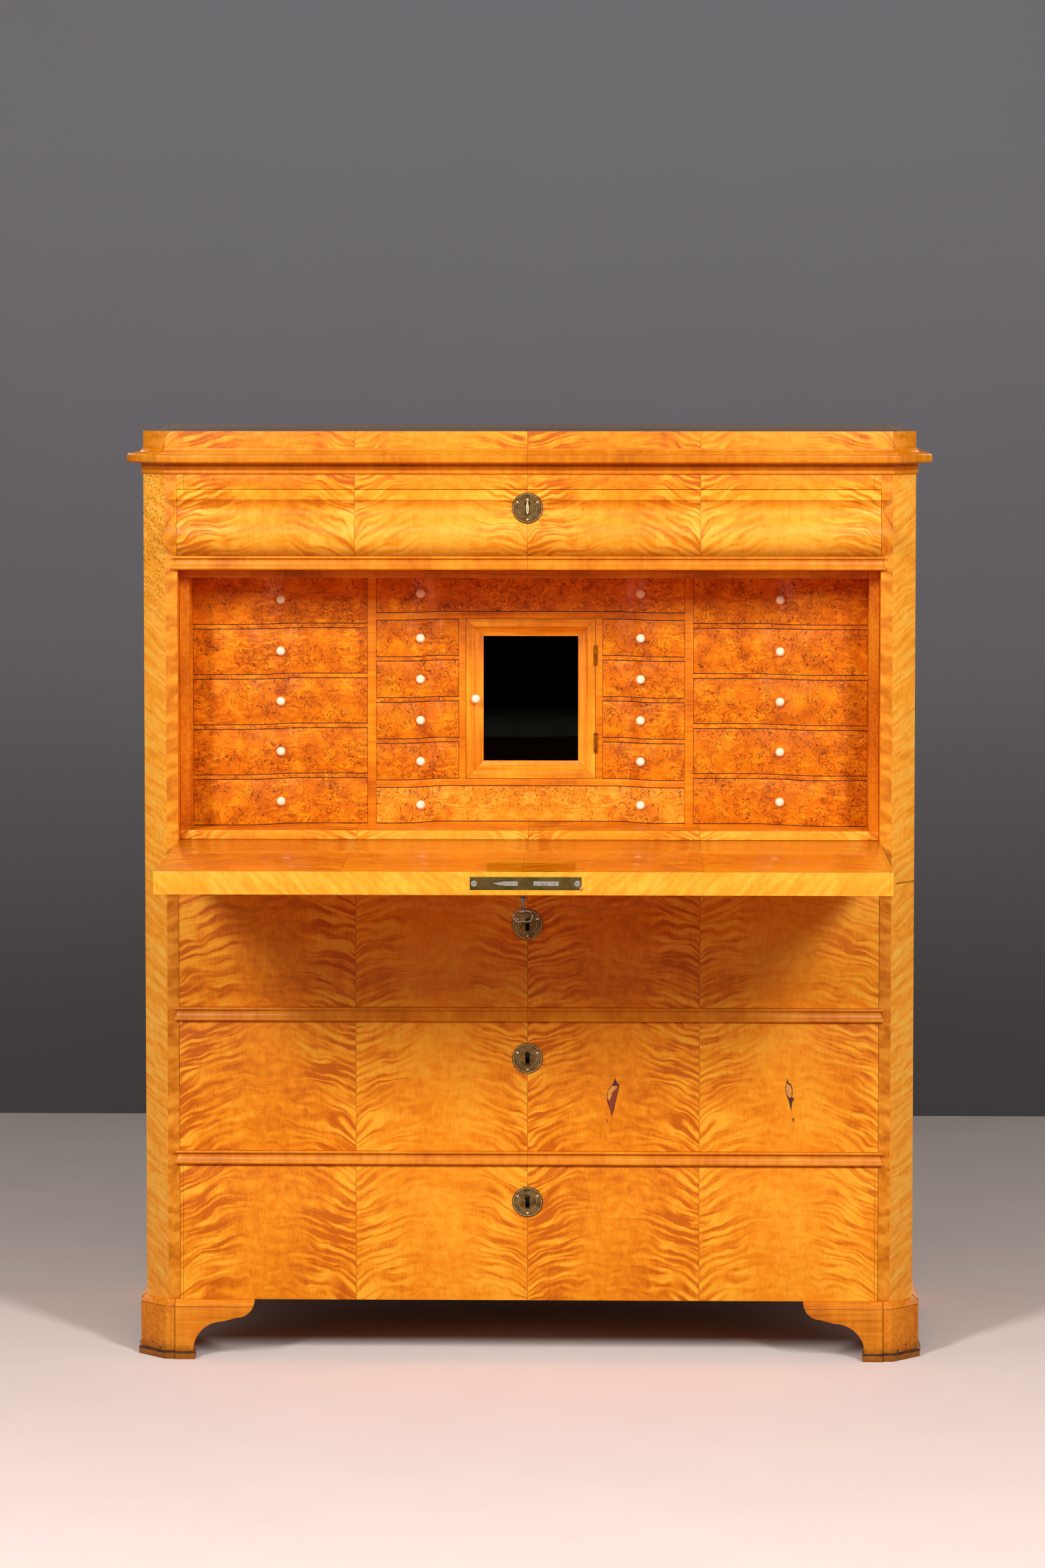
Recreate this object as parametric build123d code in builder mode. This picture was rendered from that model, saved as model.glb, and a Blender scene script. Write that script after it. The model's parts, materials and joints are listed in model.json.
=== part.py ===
from build123d import *
import os
from math import cos, radians, sin, sqrt

# Fall front secretaire, in millimetres: +X to the right, -Y towards the sitter, +Z up.
# The origin is on the floor, midway along the whole depth with the fall open.

# Heights of the case, from the floor up
foot_height = 89
bottom_drawer_opening = 206.9
middle_drawer_opening = 197.2
top_drawer_opening = 182.1
rail_thick = 20.4
hinge_rail_height = 14.3
fall_height = 441.4
frieze_drawer_opening = 99.7
frieze_rail_height = 22
cornice_height = 64.9

# Plan of the case
case_width = 1160
case_depth = 540
cant = 36
stile_width = 17.5
side_thick = 20
post_depth = 60

# Clearances
running_gap = 0.6
seat_gap = 0.3
pin_gap = 0.1
cut_overrun = 1

# Boards of the carcase
back_thick = 18
back_member = 90
panel_thick = 8
attic_thick = 18
top_thick = 12
frieze_rail_thick = 22
bottom_thick = 18
bottom_setback = 95
guide_height = 14

# Fall
fall_thick = 33
lipping_thick = 4.5
pin_radius = 4
pin_length = 12
pin_depth = 18
pivot_plate_length = 55
pivot_plate_height = 17
pivot_plate_thick = 2
pivot_plate_ahead = 45

# Fall lock and key
lock_centre = 4
lock_plate_length = 159
lock_plate_height = 19
lock_plate_thick = 3
lock_case_length = 110
lock_case_depth = 92
lock_case_thick = 13
lock_wall = 2
bolt_length = 36
bolt_height = 6.4
bolt_spacing = 58
bolt_stand = 0.5
bolt_depth = 22
bolt_bar = 8
bolt_tail_length = 15
bolt_tail_width = 12
lock_screw_spacing = 147
lock_screw_radius = 4.3
lock_screw_length = 14
lock_screw_shank = 2
lock_screw_slot = 0.9
key_centre = -1.5
key_setback = 73.4
key_stand = 3.3
key_shank_radius = 2.6
key_bit_length = 13
key_bit_thick = 2.4
key_bit_height = 7
key_collar_radius = 4.75
key_collar_height = 9.5
key_collar_groove = 3
key_neck_radius = 2.2
key_neck_length = 17
key_bow_radius = 9.4
key_bow_spread = 5.6
key_bow_wire = 2.2

# Escutcheons and their nails
plate_radius = 23
plate_thick = 1.6
plate_ring_radius = 20.9
plate_inner_ring_radius = 13.7
plate_ring_width = 2.6
plate_inner_ring_width = 1.8
plate_ring_rise = 1.1
plate_inner_ring_rise = 0.8
plate_nail_circle = 17.2
plate_nail_radius = 1.7
plate_nail_rise = 0.9
keyhole_radius = 3.5
keyhole_rise = 6.3
keyhole_slot_width = 6.4
keyhole_slot_drop = 10
cover_length = 21
cover_radius = 2.6
cover_tip_radius = 0.7
cover_thick = 1.6
cover_pin_radius = 1
cover_pivot_rise = 12.2
boss_projection = 5.5
boss_gap = 0.6

# Long drawers and the frieze drawer
drawer_front_thick = 22
drawer_side_thick = 10
drawer_bottom_thick = 7
drawer_bottom_rise = 5
drawer_side_drop = 14
drawer_back_gap = 12
drawer_lock_width = 70
drawer_lock_height = 56
drawer_lock_rise = 19
drawer_lock_thick = 9
ogee_projection = 18
moulding_projection = 6.5
cornice_projection = 23.5

# Feet
foot_projection = 9
bracket_projection = 12
foot_bevel_height = 9.5
foot_plinth_height = 11.5
foot_plinth_projection = 3.2
bracket_return = 10.2
bracket_length = 119.8
bracket_leg = 27
bracket_lip_radius = 26
bracket_hollow_radius = 46
bracket_thick = 22
foot_block_depth = 70

# Nest, the fitted interior behind the fall
nest_board = 13.4
nest_side = 14
nest_gap = 0.4
nest_setback = 33.4
nest_back_depth = 420
nest_back_thick = 8
centre_depth = 172
middle_depth = 140
outer_depth = 104
upright_thick = 13
door_post_thick = 10.3
bank_rail = 6
column_rail = 5.8
centre_rail = 10.4
bearer_width = 30
bearer_places_share = (0.32, 0.96)
closing_strip_thick = 14

# Nest drawers
nest_front_thick = 16
nest_box_side = 6
nest_box_back = 6
nest_box_bottom = 4
nest_bottom_rise = 1
nest_side_drop = 2
nest_drawer_gap = 15
knob_radius = 6.85
knob_stem_radius = 2.5
knob_foot_radius = 4.2
knob_stand = 3
knob_edge = 6.4
knob_rise = 10.5

# Door of the nest
door_thick = 18
door_flat = 12
door_member = 26.5
door_step = 1.2
door_hollow = 8
door_rebate = 6
mirror_thick = 3
mirror_setback = 11
door_knob_setback = 15
hinge_radius = 2.5
hinge_height = 30
hinge_leaf_thick = 1
hinge_leaf_width = 12
hinge_inset = 40

# Places across the nest, as shares of half its width: the turns of its serpentine front,
# its uprights, its door posts and the knobs of its middle drawers
turn_shares = (0.2377, 0.3803, 0.637, 0.8462)
upright_share = 0.4478
door_post_share = 0.1896
knob_share = 0.3195

# Heights of the nest's drawers, as shares of the clear height that they fill
bank_drawer_share = 0.1973
wide_drawer_share = 0.1542
column_share = 0.6821

# How far a canted face's arris moves along it when the face moves out
mitre_share = sqrt(2) - 1

# Heights of the escutcheons, as shares of their openings, from the top drawer down
drawer_key_share = (0.693, 0.7155, 0.727)
frieze_key_share = 0.724

# Places worked out from the sizes
half_case = case_width / 2
arris = half_case - cant
half_opening = arris - stile_width
fall_reach = fall_height - fall_thick
front = -(case_depth - fall_reach - bolt_stand) / 2
back = front + case_depth
inner_side = half_case - side_thick
bottom_drawer_low = foot_height
lower_rail_low = bottom_drawer_low + bottom_drawer_opening
middle_drawer_low = lower_rail_low + rail_thick
upper_rail_low = middle_drawer_low + middle_drawer_opening
top_drawer_low = upper_rail_low + rail_thick
bed_rail_low = top_drawer_low + top_drawer_opening
hinge_rail_low = bed_rail_low + rail_thick
fall_low = hinge_rail_low + hinge_rail_height + seat_gap
writing_height = fall_low + fall_thick
fall_top = fall_low + fall_height
ceiling_low = fall_top + running_gap
frieze_drawer_low = ceiling_low + rail_thick
frieze_rail_low = frieze_drawer_low + frieze_drawer_opening
cornice_low = frieze_rail_low + frieze_rail_height
case_top = cornice_low + cornice_height
pivot_depth = fall_thick / 2
pivot_height = fall_low + fall_thick / 2
free_edge = front - fall_reach
fall_half = half_opening - running_gap
nest_low = writing_height + seat_gap
nest_floor = nest_low + nest_board
nest_top = ceiling_low - running_gap
nest_ceiling = nest_top - nest_board
nest_half = half_opening - running_gap
bank_outer = nest_half - nest_side
centre_flat, inner_turn, middle_flat, outer_turn = [share * nest_half for share in turn_shares]
upright_inner = upright_share * nest_half
door_post_inner = door_post_share * nest_half
knob_place = knob_share * nest_half
nest_drawer_back = nest_back_depth - nest_drawer_gap
bank_inner = upright_inner + upright_thick
centre_clear = nest_ceiling - nest_floor - centre_rail - centre_rail
column_height = column_share * centre_clear
lower_centre_rail = nest_floor + wide_drawer_share * centre_clear
column_low = lower_centre_rail + centre_rail
column_top = column_low + column_height
upper_centre_rail = column_top + centre_rail
door_half = door_post_inner - running_gap

# Outlines, as shares of a projection and a height: a stretch is the end of a line,
# the middle and end of an arc, or the points of a curve
rail_moulding_shares = (
    (0, 1),
    ((0.77, 1),),
    ((1, 0.892), (0.77, 0.784)),
    ((0.43, 0.76),),
    ((0.43, 0.73),),
    ((0.49, 0.47), (0.86, 0.245)),
    ((0.91, 0.216),),
    ((1, 0.118), (0.86, 0)),
    ((0, 0),),
)
ogee_shares = (
    (0, 1),
    ((0.62, 0.865),),
    ((0.62, 0.855),),
    ((0.3, 0.79), (0.13, 0.71), (0.27, 0.62), (0.53, 0.54), (0.79, 0.445), (0.96, 0.36),
     (0.985, 0.258), (0.8, 0.155), (0.45, 0.06), (0.12, 0)),
    ((0, 0),),
)
cornice_shares = (
    (0, 0),
    ((0.111, 0.02),),
    ((0.145, 0.057), (0.111, 0.094)),
    ((0.043, 0.106),),
    ((0.068, 0.131), (0.162, 0.146)),
    ((0.162, 0.193),),
    ((0.085, 0.193),),
    ((0.085, 0.251),),
    ((0.46, 0.251),),
    ((0.46, 0.27),),
    ((0.843, 0.27),),
    ((0.953, 0.288), (1, 0.328)),
    ((1, 0.421),),
    ((0.953, 0.461), (0.843, 0.479)),
    ((0.511, 0.479),),
    ((0.511, 0.51),),
    ((0.153, 0.532), (0.051, 0.602)),
    ((0, 0.602),),
)


def behind(depth):
    """The Y of a place that lies so far behind the case's front."""
    return front + depth


def trace(shares, place):
    """Draw an outline from its shares, through place, which turns a share into a point."""
    last = place(*shares[0])
    for stretch in shares[1:]:
        points = [place(*share) for share in stretch]
        if len(points) == 1:
            Line(last, points[0])
        elif len(points) == 2:
            ThreePointArc(last, *points)
        else:
            Spline(last, *points)
        last = points[-1]


def section(x):
    """A plane across the case: outwards from the front is its first axis, up its second."""
    return Plane(origin=(x, front, 0), x_dir=(0, -1, 0), z_dir=(-1, 0, 0))


def elevation(y):
    """A plane facing the sitter, with its first axis to the right and its second up."""
    return Plane(origin=(0, y, 0), x_dir=(1, 0, 0), z_dir=(0, -1, 0))


def board(x_low, x_high, y_low, y_high, z_low, z_high):
    """A square-edged board between its low and high faces along each axis."""
    with BuildPart() as piece:
        with BuildSketch(Plane.XY.offset(z_low)):
            with BuildLine():
                Polyline((x_low, y_low), (x_high, y_low), (x_high, y_high), (x_low, y_high), close=True)
            make_face()
        extrude(amount=z_high - z_low)
    return piece.part


def both(piece):
    """A piece of the right side and its mirror image on the left."""
    return [piece, mirror(piece, about=Plane.YZ)]


def save(name, pieces):
    """Label a sub-part, one solid or a group of separate ones, and write it."""
    shape = pieces[0] if len(pieces) == 1 else Compound(children=pieces)
    shape.label = name
    export_step(shape, f"parts/{name}.step")


def mitred_run(before, start, end, after, lift, outline):
    """One length of a moulding, mitred against its neighbours where it has them."""
    along = (end - start).normalized()
    overrun = (end - start).length
    with BuildPart() as piece:
        with BuildSketch(Plane(origin=start - along * overrun, x_dir=lift.cross(along), z_dir=along)):
            with BuildLine():
                outline()
            make_face()
        extrude(amount=overrun + overrun + overrun)
        low = along if before is None else along + (start - before).normalized()
        split(bisect_by=Plane(origin=start, z_dir=low), keep=Keep.TOP)
        high = along if after is None else along + (after - end).normalized()
        split(bisect_by=Plane(origin=end, z_dir=high), keep=Keep.BOTTOM)
    return piece.part


def returned_moulding(shares, half_length, projection, z_low, height):
    """A moulding on the case's front whose own section closes each of its ends."""
    reach = half_length + projection
    with BuildPart() as piece:
        with BuildSketch(section(reach)):
            with BuildLine():
                trace(shares, lambda p, h: (p * projection, z_low + h * height))
                Line((0, z_low), (0, z_low + height))
            make_face()
        extrude(amount=reach + reach)
        with BuildSketch(elevation(front)):
            with BuildLine():
                trace(shares, lambda p, h: (half_length + p * projection, z_low + h * height))
                trace(shares, lambda p, h: (-half_length - p * projection, z_low + h * height))
                Line((-half_length, z_low), (half_length, z_low))
                Line((-half_length, z_low + height), (half_length, z_low + height))
            make_face()
        extrude(amount=projection, mode=Mode.INTERSECT)
    return piece.part


def keyhole_shape():
    """A keyhole about the centre of a plate: a round head above a slot."""
    with Locations((0, keyhole_rise)):
        Circle(keyhole_radius)
    with Locations((0, (keyhole_rise - keyhole_slot_drop) / 2)):
        Rectangle(keyhole_slot_width, keyhole_rise + keyhole_slot_drop)


def escutcheon(face):
    """A round stamped plate with two raised rings and a keyhole, lying on a face."""
    across = Plane(origin=face.origin, x_dir=face.x_dir, z_dir=-face.y_dir)
    with BuildPart() as piece:
        with BuildSketch(across):
            with Locations((plate_radius / 2, plate_thick / 2)):
                Rectangle(plate_radius, plate_thick)
            for radius, width, rise in (
                (plate_ring_radius, plate_ring_width, plate_ring_rise),
                (plate_inner_ring_radius, plate_inner_ring_width, plate_inner_ring_rise),
            ):
                with BuildLine():
                    ThreePointArc(
                        (radius - width / 2, plate_thick),
                        (radius, plate_thick + rise),
                        (radius + width / 2, plate_thick),
                    )
                    Line((radius - width / 2, plate_thick), (radius + width / 2, plate_thick))
                make_face()
        revolve(axis=Axis(face.origin, face.z_dir))
        with BuildSketch(face):
            keyhole_shape()
        extrude(amount=plate_thick + cut_overrun, mode=Mode.SUBTRACT)
    return piece.part


def plate_nails(face):
    """The three round-headed nails that hold an escutcheon."""
    nails = []
    for turn in (30, 150, 270):
        x = plate_nail_circle * cos(radians(turn))
        y = plate_nail_circle * sin(radians(turn))
        with BuildPart() as nail:
            with BuildSketch(face.offset(plate_thick)):
                with Locations((x, y)):
                    Circle(plate_nail_radius)
            extrude(amount=plate_nail_rise)
            fillet(nail.faces().sort_by(Axis(face.origin, face.z_dir))[-1].edges(), plate_nail_rise / 2)
        nails.append(nail.part)
    return nails


def drawer_box(x_half, y_low, y_high, z_low, z_high):
    """The two sides, back and bottom of a long drawer, as separate boards."""
    inner = x_half - drawer_side_thick
    bottom_low = z_low + drawer_bottom_rise
    side = board(inner, x_half, y_low, y_high, z_low, z_high)
    back_low = bottom_low + drawer_bottom_thick
    rear = board(-inner, inner, y_high - drawer_side_thick, y_high, back_low, z_high)
    bottom = board(-inner, inner, y_low, y_high, bottom_low, back_low)
    return both(side) + [rear, bottom]


def drawer_lock(face):
    """A drawer lock on the inside of a front, with a keyhole in its case."""
    with BuildPart() as lock:
        with BuildSketch(face.offset(-drawer_front_thick)):
            with Locations((0, drawer_lock_rise - drawer_lock_height / 2)):
                Rectangle(drawer_lock_width, drawer_lock_height)
        extrude(amount=-drawer_lock_thick)
        with BuildSketch(face.offset(-drawer_front_thick)):
            keyhole_shape()
        extrude(amount=-drawer_lock_thick / 2, mode=Mode.SUBTRACT)
    return lock.part


def nest_depth(x):
    """How far the nest's serpentine front lies behind the case's front, at one place across."""
    place = abs(x)
    if place <= centre_flat:
        return centre_depth
    if inner_turn <= place <= middle_flat:
        return middle_depth
    if place >= outer_turn:
        return outer_depth
    inner, outer = (centre_flat, inner_turn) if place < inner_turn else (middle_flat, outer_turn)
    deep, shallow = nest_depth(inner), nest_depth(outer)
    run = (outer - inner) / 2
    rise = (deep - shallow) / 2
    radius = (run * run + rise * rise) / (2 * rise)
    if place - inner < run:
        return deep - radius + sqrt(radius * radius - (place - inner) ** 2)
    return shallow + radius - sqrt(radius * radius - (outer - place) ** 2)


def follow_front(x_low, x_high, shift):
    """Draw the nest's serpentine front between two places, moved back by shift."""
    turns = (centre_flat, inner_turn, middle_flat, outer_turn)
    knots = sorted([-turn for turn in turns] + list(turns))
    places = [x_low] + [knot for knot in knots if x_low < knot < x_high] + [x_high]
    for low, high in zip(places, places[1:]):
        start = Vector(low, behind(nest_depth(low) + shift))
        end = Vector(high, behind(nest_depth(high) + shift))
        if start.Y == end.Y:
            Line(start, end)
        else:
            middle = (start + end) / 2
            TangentArc(start, middle, tangent=(1, 0))
            TangentArc(end, middle, tangent=(-1, 0))


def nest_shelf(x_low, x_high, shift, depth, z_low, z_high):
    """A board with the nest's serpentine front and a straight back."""
    with BuildPart() as piece:
        with BuildSketch(Plane.XY.offset(z_low)):
            with BuildLine():
                follow_front(x_low, x_high, shift)
                Polyline(
                    (x_low, behind(nest_depth(x_low) + shift)),
                    (x_low, behind(depth)),
                    (x_high, behind(depth)),
                    (x_high, behind(nest_depth(x_high) + shift)),
                )
            make_face()
        extrude(amount=z_high - z_low)
    return piece.part


def knob(x, y, z, stem):
    """A turned bone knob on a stem that passes through its drawer front."""
    with BuildPart() as piece:
        with BuildSketch(Plane(origin=(x, y, z), x_dir=(1, 0, 0), z_dir=(0, 0, 1))):
            with BuildLine():
                Polyline(
                    (0, stem),
                    (knob_stem_radius, stem),
                    (knob_stem_radius, -knob_stand),
                    (knob_foot_radius, -knob_stand),
                    (knob_radius, -knob_edge),
                )
                ThreePointArc(
                    (knob_radius, -knob_edge),
                    (knob_radius - (knob_rise - knob_edge) / 4, -(knob_edge + knob_rise) / 2),
                    (knob_foot_radius, -knob_rise + knob_stand / 6),
                )
                Line((knob_foot_radius, -knob_rise + knob_stand / 6), (0, -knob_rise))
                Line((0, -knob_rise), (0, stem))
            make_face()
        revolve(axis=Axis((x, y, z), (0, 1, 0)))
    return piece.part


def nest_drawer(x_low, x_high, z_low, z_high, knobs):
    """A nest drawer: bowed front, two sides, back, bottom and its bone knobs."""
    left, right = x_low + nest_gap, x_high - nest_gap
    low, high = z_low + nest_gap, z_high - nest_gap
    middle = (low + high) / 2
    with BuildPart() as face:
        with BuildSketch(Plane.XY.offset(low)):
            with BuildLine():
                follow_front(left, right, 0)
                follow_front(left, right, nest_front_thick)
                for x in (left, right):
                    depth = nest_depth(x)
                    Line((x, behind(depth)), (x, behind(depth + nest_front_thick)))
            make_face()
        extrude(amount=high - low)
        for x in knobs:
            with BuildSketch(elevation(behind(nest_depth(x) + nest_front_thick + nest_front_thick))):
                with Locations((x, middle)):
                    Circle(knob_stem_radius + pin_gap)
            extrude(amount=nest_front_thick * 3, mode=Mode.SUBTRACT)
    top = high - nest_side_drop
    rear = nest_drawer_back - nest_box_back
    sides = []
    for x, inwards in ((left, nest_box_side), (right, -nest_box_side)):
        near, far = sorted((x, x + inwards))
        start = behind(nest_depth(x) + nest_front_thick)
        sides.append(board(near, far, start, behind(nest_drawer_back), low, top))
    inner_left, inner_right = left + nest_box_side, right - nest_box_side
    floor_low = low + nest_bottom_rise
    floor_high = floor_low + nest_box_bottom
    rear_board = board(inner_left, inner_right, behind(rear), behind(nest_drawer_back), floor_high, top)
    bottom = nest_shelf(inner_left, inner_right, nest_front_thick, nest_drawer_back, floor_low, floor_high)
    stems = [knob(x, behind(nest_depth(x)), middle, nest_front_thick) for x in knobs]
    return [face.part] + sides + [rear_board, bottom] + stems


os.makedirs("parts", exist_ok=True)

# Case sides, from the posts back to the back edge
side = board(inner_side, half_case, behind(post_depth), back, foot_height, cornice_low)
save("case_sides", both(side))

# Canted corner posts, bored for the fall's pins, with the ends of the ogee drawer's section
with BuildPart() as corner_post:
    with BuildSketch(Plane.XY.offset(foot_height)):
        with BuildLine():
            Polyline(
                (half_opening, front),
                (arris, front),
                (half_case, behind(cant)),
                (half_case, behind(post_depth)),
                (half_opening, behind(post_depth)),
                close=True,
            )
        make_face()
    extrude(amount=cornice_low - foot_height)
    with BuildSketch(Plane.YZ.offset(half_opening)):
        with Locations((behind(pivot_depth), pivot_height)):
            Circle(pin_radius + pin_gap)
    extrude(amount=pin_length + pin_gap, mode=Mode.SUBTRACT)

ogee_low = frieze_drawer_low + seat_gap
ogee_height = frieze_drawer_opening - seat_gap - running_gap
with BuildPart() as ogee_return:
    with BuildSketch(section(half_opening + ogee_projection)):
        with BuildLine():
            trace(ogee_shares, lambda p, h: (p * ogee_projection, ogee_low + h * ogee_height))
            Line((0, ogee_low), (0, ogee_low + ogee_height))
        make_face()
    extrude(amount=ogee_projection)
    with BuildSketch(elevation(front)):
        with BuildLine():
            trace(
                ogee_shares,
                lambda p, h: (half_opening + p * ogee_projection, ogee_low + h * ogee_height),
            )
            Line((half_opening, ogee_low), (half_opening, ogee_low + ogee_height))
        make_face()
    extrude(amount=ogee_projection, mode=Mode.INTERSECT)
save("corner_posts", both(corner_post.part) + both(ogee_return.part))

# Back, a frame with a middle member round four panels
frame_low = back - back_thick
middle_member_low = (foot_height + cornice_low - back_member) / 2
middle_member_high = middle_member_low + back_member
back_stile = board(inner_side - back_member, inner_side, frame_low, back, foot_height, cornice_low)
muntin_half = back_member / 2
rail_reach = inner_side - back_member
back_rails = [
    board(-rail_reach, rail_reach, frame_low, back, low, low + back_member)
    for low in (foot_height, middle_member_low, cornice_low - back_member)
]
panel_fields = (
    (foot_height + back_member, middle_member_low),
    (middle_member_high, cornice_low - back_member),
)
muntins = [board(-muntin_half, muntin_half, frame_low, back, low, high) for low, high in panel_fields]
save("back_frame", both(back_stile) + back_rails + muntins)
panels = []
for low, high in panel_fields:
    panel_low = frame_low + (back_thick - panel_thick) / 2
    panel = board(muntin_half, rail_reach, panel_low, panel_low + panel_thick, low, high)
    panels += both(panel)
save("back_panels", panels)

# Attic boards, the top board between them and the cornice moulding round them
attic_front = board(-arris, arris, front, behind(attic_thick), cornice_low, case_top)
with BuildPart() as attic_cant:
    with BuildSketch(Plane.XY.offset(cornice_low)):
        with BuildLine():
            Polyline(
                (arris, front),
                (half_case, behind(cant)),
                (half_case - attic_thick, behind(cant)),
                (arris, behind(attic_thick)),
                close=True,
            )
        make_face()
    extrude(amount=cornice_height)
attic_side = board(half_case - attic_thick, half_case, behind(cant), back, cornice_low, case_top)
attic_back = board(
    -half_case + attic_thick, half_case - attic_thick, back - attic_thick, back, cornice_low, case_top
)
attic_boards = [attic_front, attic_back] + both(attic_cant.part) + both(attic_side)
save("attic_boards", attic_boards)
with BuildPart() as top_board:
    with BuildSketch(Plane.XY.offset(case_top - top_thick)):
        with BuildLine():
            Polyline(
                (-arris, behind(attic_thick)),
                (arris, behind(attic_thick)),
                (half_case - attic_thick, behind(cant)),
                (half_case - attic_thick, back - attic_thick),
                (-half_case + attic_thick, back - attic_thick),
                (-half_case + attic_thick, behind(cant)),
                close=True,
            )
        make_face()
    extrude(amount=top_thick)
save("top_board", [top_board.part])


def cornice_outline():
    """The cornice's section, outwards from the attic and up from the frieze."""
    trace(cornice_shares, lambda p, h: (p * cornice_projection, cornice_low + h * cornice_height))
    Line((0, cornice_low), (0, cornice_low + cornice_shares[-1][0][1] * cornice_height))


corners = [
    Vector(half_case, back),
    Vector(half_case, behind(cant)),
    Vector(arris, front),
    Vector(-arris, front),
    Vector(-half_case, behind(cant)),
    Vector(-half_case, back),
]
around = [None] + corners + [None]
runs = [mitred_run(*around[place : place + 4], Vector(0, 0, 1), cornice_outline) for place in range(5)]
save("cornice_moulding", runs)

# Frieze rail, and the mouldings on the four rails of the front
frieze_rail = board(
    -half_opening, half_opening, front, behind(frieze_rail_thick), frieze_rail_low, cornice_low
)
save("frieze_rail", [frieze_rail])
rail_lows = (lower_rail_low, upper_rail_low, bed_rail_low, ceiling_low)
mouldings = [
    returned_moulding(rail_moulding_shares, half_opening, moulding_projection, low, rail_thick)
    for low in rail_lows
]
save("rail_mouldings", mouldings)

# Rails and dust boards between the drawers, and the board below the attic
shelves = []
for low in rail_lows:
    shelves.append(board(-half_opening, half_opening, front, behind(post_depth), low, low + rail_thick))
    shelves.append(board(-inner_side, inner_side, behind(post_depth), frame_low, low, low + rail_thick))
shelves.append(
    board(
        -half_opening,
        half_opening,
        behind(frieze_rail_thick),
        behind(post_depth),
        frieze_rail_low,
        cornice_low,
    )
)
shelves.append(board(-inner_side, inner_side, behind(post_depth), frame_low, frieze_rail_low, cornice_low))
save("dust_boards", shelves)
bottom_board = board(
    -half_case, half_case, behind(bottom_setback), back, foot_height - bottom_thick, foot_height
)
save("bottom_board", [bottom_board])

# Guides beside the drawers, from the posts to the back frame
guides = []
for low in (bottom_drawer_low, middle_drawer_low, top_drawer_low, frieze_drawer_low):
    start = bottom_setback if low == bottom_drawer_low else post_depth
    guides += both(board(half_opening, inner_side, behind(start), frame_low, low, low + guide_height))
save("drawer_guides", guides)

# Feet: a canted block with a bevelled cap and a plinth, and a bracket along each face


def canted_outline(offset, inner, depth):
    """Plan of a canted corner block that stands out from the case by offset."""
    shift = offset * mitre_share
    return (
        (inner, front - offset),
        (arris + shift, front - offset),
        (half_case + offset, behind(cant) - shift),
        (half_case + offset, behind(depth)),
        (inner, behind(depth)),
    )


cap_low = foot_height - foot_bevel_height
bracket_outer = arris - bracket_return
bracket_inner = bracket_outer - bracket_length
with BuildPart() as front_block:
    with BuildSketch(Plane.XY.offset(foot_plinth_height)):
        with BuildLine():
            Polyline(*canted_outline(foot_projection, bracket_outer, foot_block_depth), close=True)
        make_face()
    extrude(amount=cap_low - foot_plinth_height)
    with BuildSketch(Plane.XY.offset(cap_low)):
        with BuildLine():
            Polyline(*canted_outline(foot_projection, bracket_outer, foot_block_depth), close=True)
        make_face()
    with BuildSketch(Plane.XY.offset(foot_height)):
        with BuildLine():
            Polyline(*canted_outline(0, bracket_outer, foot_block_depth), close=True)
        make_face()
    loft(ruled=True)
plinth_reach = foot_projection + foot_plinth_projection
with BuildPart() as front_plinth:
    with BuildSketch():
        with BuildLine():
            Polyline(*canted_outline(plinth_reach, bracket_outer, foot_block_depth), close=True)
        make_face()
    extrude(amount=foot_plinth_height)
    plinth_edges = front_plinth.faces().sort_by(Axis.Z)[-1].edges().sort_by(Axis.Y)[:3]
    fillet(plinth_edges, foot_plinth_projection)


def bracket(plane, outer, inner, projection, thick):
    """A shaped bracket drawn on a plane that faces outwards, with its bevel and plinth."""
    way = 1 if outer > inner else -1
    leg = outer - way * bracket_leg
    hollow = leg - way * bracket_hollow_radius
    lip = inner + way * bracket_lip_radius
    hollow_top = foot_plinth_height + bracket_hollow_radius
    lip_low = foot_height - bracket_lip_radius
    bend = sqrt(0.5)
    with BuildPart() as piece:
        with BuildSketch(plane.offset(projection)):
            with BuildLine():
                Polyline(
                    (leg, foot_plinth_height),
                    (outer, foot_plinth_height),
                    (outer, foot_height),
                    (inner, foot_height),
                )
                ThreePointArc(
                    (inner, foot_height),
                    (lip - way * bracket_lip_radius * bend, foot_height - bracket_lip_radius * bend),
                    (lip, lip_low),
                )
                Line((lip, lip_low), (hollow, hollow_top))
                ThreePointArc(
                    (hollow, hollow_top),
                    (
                        hollow + way * bracket_hollow_radius * bend,
                        foot_plinth_height + bracket_hollow_radius * bend,
                    ),
                    (leg, foot_plinth_height),
                )
            make_face()
        extrude(amount=-thick)
        front_top = piece.faces().sort_by(Axis(plane.origin, plane.z_dir))[-1].edges().sort_by(Axis.Z)[-1]
        chamfer(front_top, foot_bevel_height)
    with BuildPart() as plinth:
        with BuildSketch(plane.offset(projection + foot_plinth_projection)):
            with BuildLine():
                Polyline(
                    (leg - way * foot_plinth_projection, 0),
                    (outer, 0),
                    (outer, foot_plinth_height),
                    (leg - way * foot_plinth_projection, foot_plinth_height),
                    close=True,
                )
            make_face()
        extrude(amount=-thick - foot_plinth_projection)
        plinth_top = plinth.faces().sort_by(Axis(plane.origin, plane.z_dir))[-1].edges().sort_by(Axis.Z)[-1]
        fillet(plinth_top, foot_plinth_projection)
    return [piece.part, plinth.part]


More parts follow.
